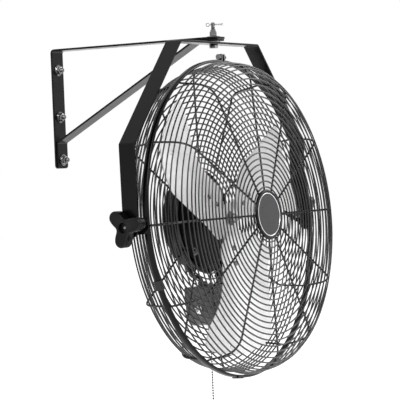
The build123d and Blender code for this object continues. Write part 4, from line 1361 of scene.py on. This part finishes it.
def round_head(work: Workpiece, radius: float, height: float, at: Matrix, recess: bool = False) -> None:
    """Add a domed head.

    Args:
        work: What it is added to.
        radius: Radius of its foot.
        height: Height.
        at: Placement of its foot.
        recess: Whether it has a round recess in its middle.
    """
    shape = [*DOME, *(RECESSED_TOP if recess else PLAIN_TOP)]
    work.turn([(out * radius, up * height) for out, up in shape], steps=28, closed=False, at=at)


@dataclass(frozen=True)
class WallFixings:
    """Three hexagon-headed screws and washers on the wall strap, in millimetres of the model.

    Attributes:
        heights: Height of each screw.
        stacks: Thickness clamped by each screw.
        turns: Turn of each head, in degrees.
        washer: Outer radius and thickness of a washer.
        across: Width of a head across its flats.
        head: Height of a head.
        collar: Outer radius, bore and thickness of the collar under a head.
        shank: Radius of a shank.
        stud: Length of the thread that stands out of a head.
        clear: How far from the wall's face a shank begins.
    """

    heights: tuple[float, ...] = (83.0, 0.0, -76.0)
    stacks: tuple[float, ...] = (3.5, 3.5, 7.0)
    turns: tuple[float, ...] = (11.0, 34.0, 57.0)
    washer: Point2 = (10.0, 1.6)
    across: float = 13.0
    head: float = 5.5
    collar: Point3 = (8.06, 3.9, 0.9)
    shank: float = 4.0
    stud: float = 4.5
    clear: float = 0.05

    def build(self) -> None:
        """Make the washers and the screws, whose threads end at the wall's face."""
        washers, screws = Workpiece(), Workpiece()
        outer, thick = self.washer
        for height, stack, turn in zip(self.heights, self.stacks, self.turns):
            at = seat((0.0, -stack, height), FROM_WALL)
            flat_washer(washers, outer, self.shank + BORE_PLAY, thick, at)
            rest = stack + thick
            at = seat((0.0, -rest, height), FROM_WALL, turn)
            flat_washer(screws, *self.collar, at)
            chamfered_hex(screws, self.across, self.head, at)
            thread(screws, self.shank, rest - self.clear, seat((0.0, -self.clear, height), FROM_WALL))
            thread(screws, self.shank, self.stud, seat((0.0, SUNK - rest - self.head, height), FROM_WALL))
        washers.finish("wall_washer_rings", Body.BRACKET, "zinc", replaces=["wall_washers"])
        screws.finish("wall_screw_heads", Body.BRACKET, "zinc", replaces=["wall_screws"])


@dataclass(frozen=True)
class PivotStack:
    """The vertical pivot bolt with its washers, nut and split pin, in millimetres of the model.

    Attributes:
        swivel: Place of the pivot along Y.
        yoke_under: Height of the yoke's underside.
        yoke_top: Height of its top face.
        arm_top: Height of the arm's top face.
        washer: Outer radius and thickness of the washer between yoke and arm.
        arm_washer: Thickness of the washer on the arm.
        bolt: Radius of the bolt.
        plain: Length of its plain shank.
        pitch: Pitch of its thread.
        across: Width of its head across the flats.
        head: Height of its head.
        nut: Width across the flats and height of the nut.
        collar: Radius and height of the nut's collar.
        top: Height of the bolt's end.
        pin_height: Height of the split pin.
        pin_turn: Turn of the pin about the bolt, in degrees.
        pin_wire: Radius of its wire.
        eye: How far its eye stands from the bolt's middle, and the eye's radius.
        eye_span: First and last angle of the eye, in degrees.
        leg: Distance along the pin and height of the points of its upper leg.
    """

    swivel: float = -328.0
    yoke_under: float = 107.5
    yoke_top: float = 111.0
    arm_top: float = 120.0
    washer: Point2 = (11.0, 2.0)
    arm_washer: float = 1.2
    bolt: float = 3.4
    plain: float = 16.0
    pitch: float = 1.5
    across: float = 13.0
    head: float = 6.5
    nut: Point2 = (11.05, 8.0)
    collar: Point2 = (4.68, 3.4)
    top: float = 144.5
    pin_height: float = 141.0
    pin_turn: float = -58.0
    pin_wire: float = 0.6
    eye: Point2 = (8.6, 2.8)
    eye_span: Point2 = (20.0, 340.0)
    leg: tuple[Point2, ...] = ((-6.0, 0.5), (13.0, 0.5), (17.0, 1.2))

    def _at(self, height: float, way: float = 1.0, turn: float = 0.0) -> Matrix:
        """Return a placement on the pivot.

        Args:
            height: Its height.
            way: 1 if it faces up, -1 if it faces down.
            turn: Turn about the pivot, in degrees.

        Returns:
            The placement as a matrix.
        """
        return seat((0.0, self.swivel, height), (0.0, 0.0, way), turn)

    def _pin_lines(self, steps: int = 14) -> list[list[Vector]]:
        """Return the middle lines of the pin's eye and its two legs.

        Args:
            steps: Number of steps round the eye.

        Returns:
            The points of each line.
        """
        turn = Matrix.Rotation(math.radians(self.pin_turn), 4, "Z")
        place = Matrix.Translation((0.0, self.swivel, self.pin_height)) @ turn
        (away, radius), (first, last) = self.eye, self.eye_span
        angles = [math.radians(first + (last - first) * k / steps) for k in range(steps + 1)]
        lines = [[(radius * math.cos(angle) - away, 0.0, radius * math.sin(angle)) for angle in angles]]
        lines += [[(along, 0.0, way * up) for along, up in self.leg] for way in (1.0, -1.0)]
        return [[place @ Vector(spot) for spot in line] for line in lines]

    def build(self) -> None:
        """Make every piece of the stack."""
        washers, bolt, nut, pin = Workpiece(), Workpiece(), Workpiece(), Workpiece()
        for height, thick in ((self.yoke_top, self.washer[1]), (self.arm_top, self.arm_washer)):
            flat_washer(washers, self.washer[0], self.bolt + BORE_PLAY, thick, self._at(height))
        chamfered_hex(bolt, self.across, self.head, self._at(self.yoke_under, way=-1.0, turn=12.0))
        shank = [(0.0, 0.0), (self.bolt, 0.0), (self.bolt, self.plain), (0.0, self.plain)]
        bolt.turn(shank, steps=32, closed=False, at=self._at(self.yoke_under))
        foot = self.yoke_under + self.plain
        thread(bolt, self.bolt, self.top - foot, self._at(foot), self.pitch)
        across, height = self.nut
        foot = self.arm_top + self.arm_washer
        chamfered_hex(nut, across, height, self._at(foot, turn=20.0))
        flat_washer(nut, self.collar[0], self.bolt, self.collar[1], self._at(foot + height - SUNK))
        pin.wires(self._pin_lines(), self.pin_wire)
        washers.finish("pivot_washer_rings", Body.BRACKET, "zinc", replaces=["pivot_washers"])
        bolt.finish("pivot_bolt_turned", Body.BRACKET, "zinc", replaces=["pivot_bolt"])
        nut.finish("pivot_nut_chamfered", Body.BRACKET, "zinc", replaces=["pivot_nut"])
        pin.finish("split_pin_wire", Body.BRACKET, "zinc", replaces=["split_pin"], angle=70.0)


# --- Flat bars ------------------------------------------------------------------------------------------


def bent_line(points: Sequence[Point2], radius: float, steps: int = 8) -> list[tuple[Vector, Vector]]:
    """Bend a line by an arc at each corner.

    Args:
        points: The line's corners.
        radius: Radius of every arc.
        steps: Number of steps in an arc.

    Returns:
        Each point of the bent line with its left-hand normal.
    """
    spots = [Vector(point) for point in points]
    made: list[tuple[Vector, Vector]] = []
    for number, corner in enumerate(spots):
        if number in (0, len(spots) - 1):
            way = (spots[1] - corner if number == 0 else corner - spots[-2]).normalized()
            made.append((corner, Vector((-way.y, way.x))))
            continue
        come, leave = (corner - spots[number - 1]).normalized(), (spots[number + 1] - corner).normalized()
        turn = math.atan2(come.x * leave.y - come.y * leave.x, come.dot(leave))
        left = Vector((-come.y, come.x))
        side = left * (1 if turn > 0 else -1)
        middle = corner - come * (radius * math.tan(abs(turn) / 2)) + side * radius
        for k in range(steps + 1):
            swept = Matrix.Rotation(turn * k / steps, 2)
            made.append((middle - swept @ side * radius, swept @ left))
    return made


@dataclass(frozen=True)
class FlatBar:
    """A bent flat steel bar with rolled edges, in millimetres.

    Attributes:
        name: Name of the piece.
        node: CAD node that it stands for.
        body: Body that it rides on.
        route: Corners of one face, in the plane of the bends.
        side: 1 if the metal lies to the left of the route, -1 if to the right.
        plane: Placement of the plane of the bends; its z runs across the bar's width.
        ends: Radius of the corners at the route's start and end.
        bend: Radius of the route's bends.
        width: Width of the bar.
        thick: Thickness of the bar.
        edge: Width of its rolled edges.
        sharp: Edges that turn by more than this are rolled, in degrees.
    """

    name: str
    node: str
    body: Body
    route: tuple[Point2, ...]
    side: int
    plane: Matrix
    ends: Point2 = (6.0, 6.0)
    bend: float = 7.0
    width: float = 29.0
    thick: float = 3.5
    edge: float = 0.55
    sharp: float = 50.0

    def build(self) -> None:
        """Extrude the side outline across the width, round the ends and break the edges."""
        work = Workpiece()
        line = bent_line(self.route, self.bend)
        near = [tuple(spot) for spot, _ in line]
        far = [tuple(spot + normal * (self.thick * self.side)) for spot, normal in line]
        work.prism([*near, *reversed(far)], self.width)
        bmesh.ops.translate(work.bm, vec=(0.0, 0.0, -self.width / 2), verts=work.bm.verts[:])
        reach = self.thick + SUNK
        for radius, end in zip(self.ends, (self.route[0], self.route[-1])):
            close = {vert for vert in work.bm.verts if (vert.co.xy - Vector(end)).length < reach}
            corners = [edge for edge in work.level_edges() if close.issuperset(edge.verts)]
            work.round_edges(corners, radius, segments=7)
        sharp = [edge for edge in work.bm.edges if edge.calc_face_angle(0.0) > math.radians(self.sharp)]
        work.round_edges(sharp, self.edge, segments=2)
        work.finish(self.name, self.body, "black_enamel", WORLD @ self.plane, [self.node], angle=20.0)


# --- Tilt fixings and knobs -----------------------------------------------------------------------------

LEAST_SINE = 1e-6  # what a sine is taken as when it is too small to divide by


@dataclass(frozen=True)
class HandKnob:
    """The lobed knob on one side of the cage, in millimetres of the head.

    Attributes:
        side: The side.
        foot: Distance of the knob's inner face from the middle.
        thick: Thickness of the knob.
        lobes: Number of lobes.
        reach: Distance of a lobe's end from the knob's middle.
        lobe: Radius of a lobe.
        core: Radius of the knob's middle.
        rest_turn: Angle of the first lobe, in degrees.
        back: Inset and height of the loops from the inner face to the full outline.
        front: Inset of the loops up to the face, and how far each stands below it.
        recess: Radius of the loops of the recess, and how far each stands below the face.
    """

    side: Side
    foot: float = 277.3
    thick: float = 19.9
    lobes: int = 3
    reach: float = 33.0
    lobe: float = 10.8
    core: float = 14.0
    rest_turn: float = 10.0
    back: tuple[Point2, ...] = ((3.0, 0.0), (2.4, 0.0), (1.0, 0.5), (0.2, 1.6), (0.0, 2.8))
    front: tuple[Point2, ...] = ((0.0, 3.4), (0.3, 1.9), (1.2, 0.6), (2.8, 0.0), (3.4, 0.0))
    recess: tuple[Point2, ...] = ((9.6, 0.0), (8.6, 0.5), (8.2, 6.8), (6.0, 6.9))

    def _extent(self, angle: float) -> float:
        """Return how far the core and the capsule-shaped lobes reach.

        Args:
            angle: Where it is asked, in radians.

        Returns:
            The distance from the knob's middle.
        """
        inner = self.reach - self.lobe
        furthest = self.core
        for number in range(self.lobes):
            off = angle - math.radians(self.rest_turn + 360.0 / self.lobes * number)
            if math.cos(off) <= 0.0:
                continue
            extent = self.lobe / max(abs(math.sin(off)), LEAST_SINE)
            if extent * math.cos(off) > inner:
                extent = inner * math.cos(off) + math.sqrt(self.lobe**2 - (inner * math.sin(off)) ** 2)
            furthest = max(furthest, extent)
        return furthest

    def _outline(self, steps: int = 120, rounds: int = 5) -> list[Point2]:
        """Return the knob's outline, with soft valleys between its lobes.

        Args:
            steps: Number of its points.
            rounds: How often it is smoothed.

        Returns:
            The points.
        """
        angles = [2 * math.pi * k / steps for k in range(steps)]
        radii = [self._extent(angle) for angle in angles]
        for _ in range(rounds):
            radii = [(radii[k - 1] + 2 * radii[k] + radii[(k + 1) % steps]) / 4 for k in range(steps)]
        return [(out * math.cos(angle), out * math.sin(angle)) for out, angle in zip(radii, angles)]

    def build(self) -> None:
        """Stack the knob's loops: rounded back and front edges and a round recess."""
        outline = self._outline()
        rims = [*self.back, *((inset, self.thick - below) for inset, below in self.front)]
        loops = []
        for inset, height in rims:
            shares = [1.0 - inset / math.hypot(x, y) for x, y in outline]
            loops.append(([(x * share, y * share) for (x, y), share in zip(outline, shares)], height))
        for radius, below in self.recess:
            loops.append((polygon(radius, len(outline)), self.thick - below))
        knob = Workpiece()
        knob.stack(loops, self.side.plane(self.foot))
        body = Body[f"KNOB_{self.side.name}"]
        name = self.side.name.lower()
        knob.finish(f"{name}_lobed_knob", body, "knob_plastic", HEAD.matrix(), [f"knob_{name}"], angle=40.0)


@dataclass(frozen=True)
class TiltFixings:
    """The coach bolts, washers and rivets of both sides, in millimetres of the head.

    Attributes:
        ear: Distance of an ear's inner face from the middle.
        ear_thick: Thickness of an ear.
        leg: Inner and outer distance of a yoke leg from the middle.
        stud: Radius of a coach bolt.
        stud_end: Distance of its thread's end from the middle.
        head: Radius and height of its head.
        thread: Radius of its thread.
        neck: Half the width and the height of its square neck.
        washer: Outer radius of every washer.
        fibre: Thickness of a fibre washer.
        knob_washer: Thickness of a knob washer.
        rivet: Radius and height of a rivet's head.
        ring_forward: Depth of the ring's mid plane.
        rivet_up: Distance of a rivet above or below the tilt axis.
    """

    ear: float = 268.05
    ear_thick: float = 2.5
    leg: Point2 = (272.0, 275.5)
    stud: float = 4.0
    stud_end: float = 291.3
    head: Point2 = (9.0, 4.0)
    thread: float = 2.8
    neck: Point2 = (4.1, 3.1)
    washer: float = 11.0
    fibre: float = 1.2
    knob_washer: float = 1.6
    rivet: Point2 = (4.0, 1.0)
    ring_forward: float = 25.0
    rivet_up: float = 8.0

    def build(self) -> None:
        """Make one piece of each kind, for both sides."""
        studs, outer, inner, rivets = Workpiece(), Workpiece(), Workpiece(), Workpiece()
        half, height = self.neck
        square = [(-half, -half), (half, -half), (half, half), (-half, half)]
        (inside, outside), bore = self.leg, self.stud + BORE_PLAY
        for side in Side:
            ear = side.plane(self.ear)
            round_head(studs, *self.head, ear @ Matrix.Rotation(math.pi, 4, "Y"))
            studs.prism(square, height, ear, chamfer=0.3)
            thread(studs, self.thread, self.stud_end - self.ear, ear)
            flat_washer(inner, self.washer, bore, self.fibre, side.plane(inside - self.fibre - SUNK))
            flat_washer(outer, self.washer, bore, self.knob_washer, side.plane(outside + SUNK))
            for up in (self.rivet_up, -self.rivet_up):
                forward = Matrix.Translation((-side.value * self.ring_forward, up, 0.0))
                round_head(rivets, *self.rivet, side.plane(self.ear + self.ear_thick) @ forward)
        place = HEAD.matrix()
        studs.finish("coach_bolts", Body.HEAD, "zinc", place, ["tilt_studs"])
        outer.finish("knob_washer_rings", Body.YOKE, "zinc", place, ["knob_washers"])
        inner.finish("fibre_washer_rings", Body.YOKE, "fibre", place, ["fibre_washers"])
        rivets.finish("ear_rivet_heads", Body.HEAD, "black_enamel", place, ["ear_rivets"])


# --- Motor and switch box -------------------------------------------------------------------------------

ARC_REACH = 1.3  # how far from a corner a curve begins that looks like an arc, per radius


@dataclass(frozen=True)
class MotorFixings:
    """The motor's long screws, the rotor nut and the blade screws, in millimetres of the head.

    Attributes:
        face: Depth of the face that the long screws' heads stand on.
        circle: Radius of the circle that they stand on.
        screw_angles: Their places on it, in degrees.
        spider: Depth of the spider's face.
        reaches: Distance of each blade screw from the shaft.
        front: How far the foot of its head stands in front of the spider.
        back: How far the foot of its nut stands behind it.
    """

    face: float = -27.0
    circle: float = 70.0
    screw_angles: tuple[float, ...] = (45.0, 135.0, 225.0, 315.0)
    spider: float = Blade.depth
    reaches: tuple[float, ...] = (50.0, 76.0)
    front: float = Blade.sheet + 0.35
    back: float = 2.6

    def build(self) -> None:
        """Make every visible fastener of the motor and the rotor."""
        screws, nut, blade = Workpiece(), Workpiece(), Workpiece()
        for angle in map(math.radians, self.screw_angles):
            across, up = self.circle * math.cos(angle), self.circle * math.sin(angle)
            at = Matrix.Translation((across, up, self.face))
            flat_washer(screws, outer=6.6, bore=3.0, thick=0.8, at=at)
            chamfered_hex(screws, across=9.0, height=3.6, at=at)
        at = Matrix.Translation((0.0, 0.0, self.spider))
        chamfered_hex(nut, across=16.4, height=7.0, at=at)
        flat_washer(nut, outer=12.0, bore=6.0, thick=1.2, at=at)
        tilt = math.radians(Blade.pitch)
        way = Vector((0.0, -math.sin(tilt), math.cos(tilt)))
        for angle in Rotor().angles():
            turn = Matrix.Rotation(math.radians(angle), 4, "Z")
            for reach in self.reaches:
                foot = Vector((reach, 0.0, self.spider))
                at = turn @ seat(foot + way * self.front, way)
                round_head(blade, radius=4.4, height=2.5, at=at, recess=True)
                at = turn @ seat(foot - way * self.back, -way)
                chamfered_hex(blade, across=7.6, height=2.5, at=at)
        place = HEAD.matrix()
        screws.finish("motor_screw_heads", Body.HEAD, "zinc", place, ["motor_screws"])
        nut.finish("rotor_nut_chamfered", Body.ROTOR, "zinc", place, ["rotor_nut"])
        blade.finish("blade_screw_heads", Body.ROTOR, "zinc", place, ["blade_screws"])


@dataclass(frozen=True)
class SwitchBox:
    """The moulded switch box with its cover and side gland, in millimetres of the head.

    Attributes:
        middle: Its middle, across the head.
        width: Width across the head.
        height: Height.
        top: Height of its top in the head.
        front: Depth of its front.
        back: Depth of its back.
        cover: Thickness of the cover.
        round_off: Radius of its lower and of its upper corners.
        screw: Radius and height of a cover screw's head.
        screw_places: Their distances from the middle, and from the top down.
        gland_up: Height of the gland in the head.
        gland: Radius of the gland's turned sleeve at each height above the box's side.
    """

    middle: float = 34.0
    width: float = 58.0
    height: float = 68.0
    top: float = -110.0
    front: float = -34.6
    back: float = -90.6
    cover: float = 2.0
    round_off: Point2 = (22.0, 4.0)
    screw: Point2 = (3.0, 1.8)
    screw_places: tuple[Point2, ...] = ((-23.4, 7.0), (-23.4, 40.0), (23.4, 7.0), (23.4, 40.0))
    gland_up: float = -150.0
    gland: tuple[Point2, ...] = (
        (4.0, 4.0), (5.6, 4.0), (6.0, 4.8), (6.0, 7.6), (5.4, 9.2), (4.6, 9.6), (3.6, 9.6), (3.2, 9.0),
        (3.2, 3.0), (4.0, 3.0),
    )

    def _outline(self, inset: float = 0.0) -> list[Point2]:
        """Return the box's outline: square above, well rounded below.

        Args:
            inset: How far it is moved in.

        Returns:
            The outline's points.
        """
        left, right = self.middle - self.width / 2 + inset, self.middle + self.width / 2 - inset
        low, high = self.top - self.height + inset, self.top - inset
        lower, upper = (ARC_REACH * (radius - inset) for radius in self.round_off)
        corners = [(left, low), (right, low), (right, high), (left, high)]
        return rounded_outline(corners, (lower, lower, upper, upper), steps=9)

    def build(self) -> None:
        """Make the shell, the cover, its screws and the bright gland on the side."""
        shell, cover, screws, gland = Workpiece(), Workpiece(), Workpiece(), Workpiece()
        back = self.back + self.cover
        at = Matrix.Translation((0.0, 0.0, back))
        shell.prism(self._outline(), self.front - back, at, chamfer=1.4, segments=3)
        at = Matrix.Translation((0.0, 0.0, self.back))
        cover.prism(self._outline(inset=0.2), self.cover, at, chamfer=0.5)
        for across, down in self.screw_places:
            at = seat((self.middle + across, self.top - down, self.back), (0.0, 0.0, -1.0))
            round_head(screws, *self.screw, at, recess=True)
        left, depth = self.middle - self.width / 2, (self.front + self.back) / 2
        at = seat((left, self.gland_up, depth), (-1.0, 0.0, 0.0), turn=15.0)
        chamfered_hex(gland, across=13.0, height=4.0, at=at)
        gland.turn(self.gland, steps=32, at=at)
        place = HEAD.matrix()
        shell.finish("switch_box_shell", Body.HEAD, "box_plastic", place, ["switch_box"], angle=30.0)
        cover.finish("switch_box_cover", Body.HEAD, "box_plastic", place, ["box_cover"], angle=30.0)
        screws.finish("box_screw_heads", Body.HEAD, "zinc", place, ["box_screws"])
        gland.finish("side_gland", Body.HEAD, "chrome_trim", place, ["cord_gland"])


# --- The fan --------------------------------------------------------------------------------------------


class Part(Protocol):
    """A sub-assembly that is built in its turn."""

    def build(self) -> None:
        """Make its pieces."""


@dataclass(frozen=True)
class Fan:
    """The whole fan, in building order.

    Attributes:
        cords: The pull chain and the motor's lead.
        cage: Both grilles, the ring that holds them and the badge.
        bars: The wall bracket's bars and the yoke.
        rotor: The blades.
        fittings: Fasteners, knobs and the switch box.
    """

    cords: tuple[Part, ...] = (PullChain(), MotorLead())
    cage: tuple[Part, ...] = (
        Grille(
            "front_grille", start=(34.0, 92.0), corner=(251.0, 86.0), end=(263.3, 28.0), facing=1,
            rim=(264.6, 26.9), nodes=("front_grille", "front_hoops"),
        ),
        Grille(
            "rear_grille", start=(80.5, -34.0), corner=(254.0, -27.0), end=(263.3, 22.0), facing=-1,
            rim=(264.6, 23.1), nodes=("rear_grille", "rear_hoops"), first=9.0, bend=15.0, side_pitch=6.4,
        ),
        ClampRing(),
        Badge(),
    )
    bars: tuple[Part, ...] = (
        FlatBar(
            "strap_bar", "wall_strap", Body.BRACKET, route=((0.0, -91.0), (0.0, 120.0), (-343.0, 120.0)),
            side=1, plane=SIDE_VIEW, width=33.0,
        ),
        FlatBar(
            "brace_bar", "diagonal_brace", Body.BRACKET,
            route=((-3.5, -91.0), (-3.5, -44.0), (-296.0, 116.5), (-343.0, 116.5)), side=1, plane=SIDE_VIEW,
        ),
        FlatBar(
            "yoke_bar", "yoke", Body.YOKE,
            route=(
                (-275.5, -205.0), (-275.5, -164.0), (-278.0, -57.0), (-126.0, 111.0), (126.0, 111.0),
                (278.0, -57.0), (275.5, -164.0), (275.5, -205.0),
            ),
            side=-1, plane=FRONT_VIEW, ends=(14.0, 14.0),
        ),
    )
    rotor: Rotor = Rotor()
    fittings: tuple[Part, ...] = (
        WallFixings(), PivotStack(), HandKnob(Side.LEFT), HandKnob(Side.RIGHT), TiltFixings(),
        MotorFixings(), SwitchBox(),
    )

    def build(self) -> None:
        """Build every sub-assembly."""
        for part in (*self.cords, *self.cage, *self.bars, self.rotor, *self.fittings):
            part.build()


def main() -> None:
    """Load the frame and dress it."""
    logging.basicConfig(level=logging.INFO, format="%(name)s: %(message)s")
    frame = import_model()
    View().build()
    fan = Fan()
    PALETTE.dress_nodes(frame)
    fan.build()
    Studio().build()
    bpy.context.scene.view_settings.view_transform = "Standard"
    LOG.info("done")


if __name__ == "__main__":
    main()
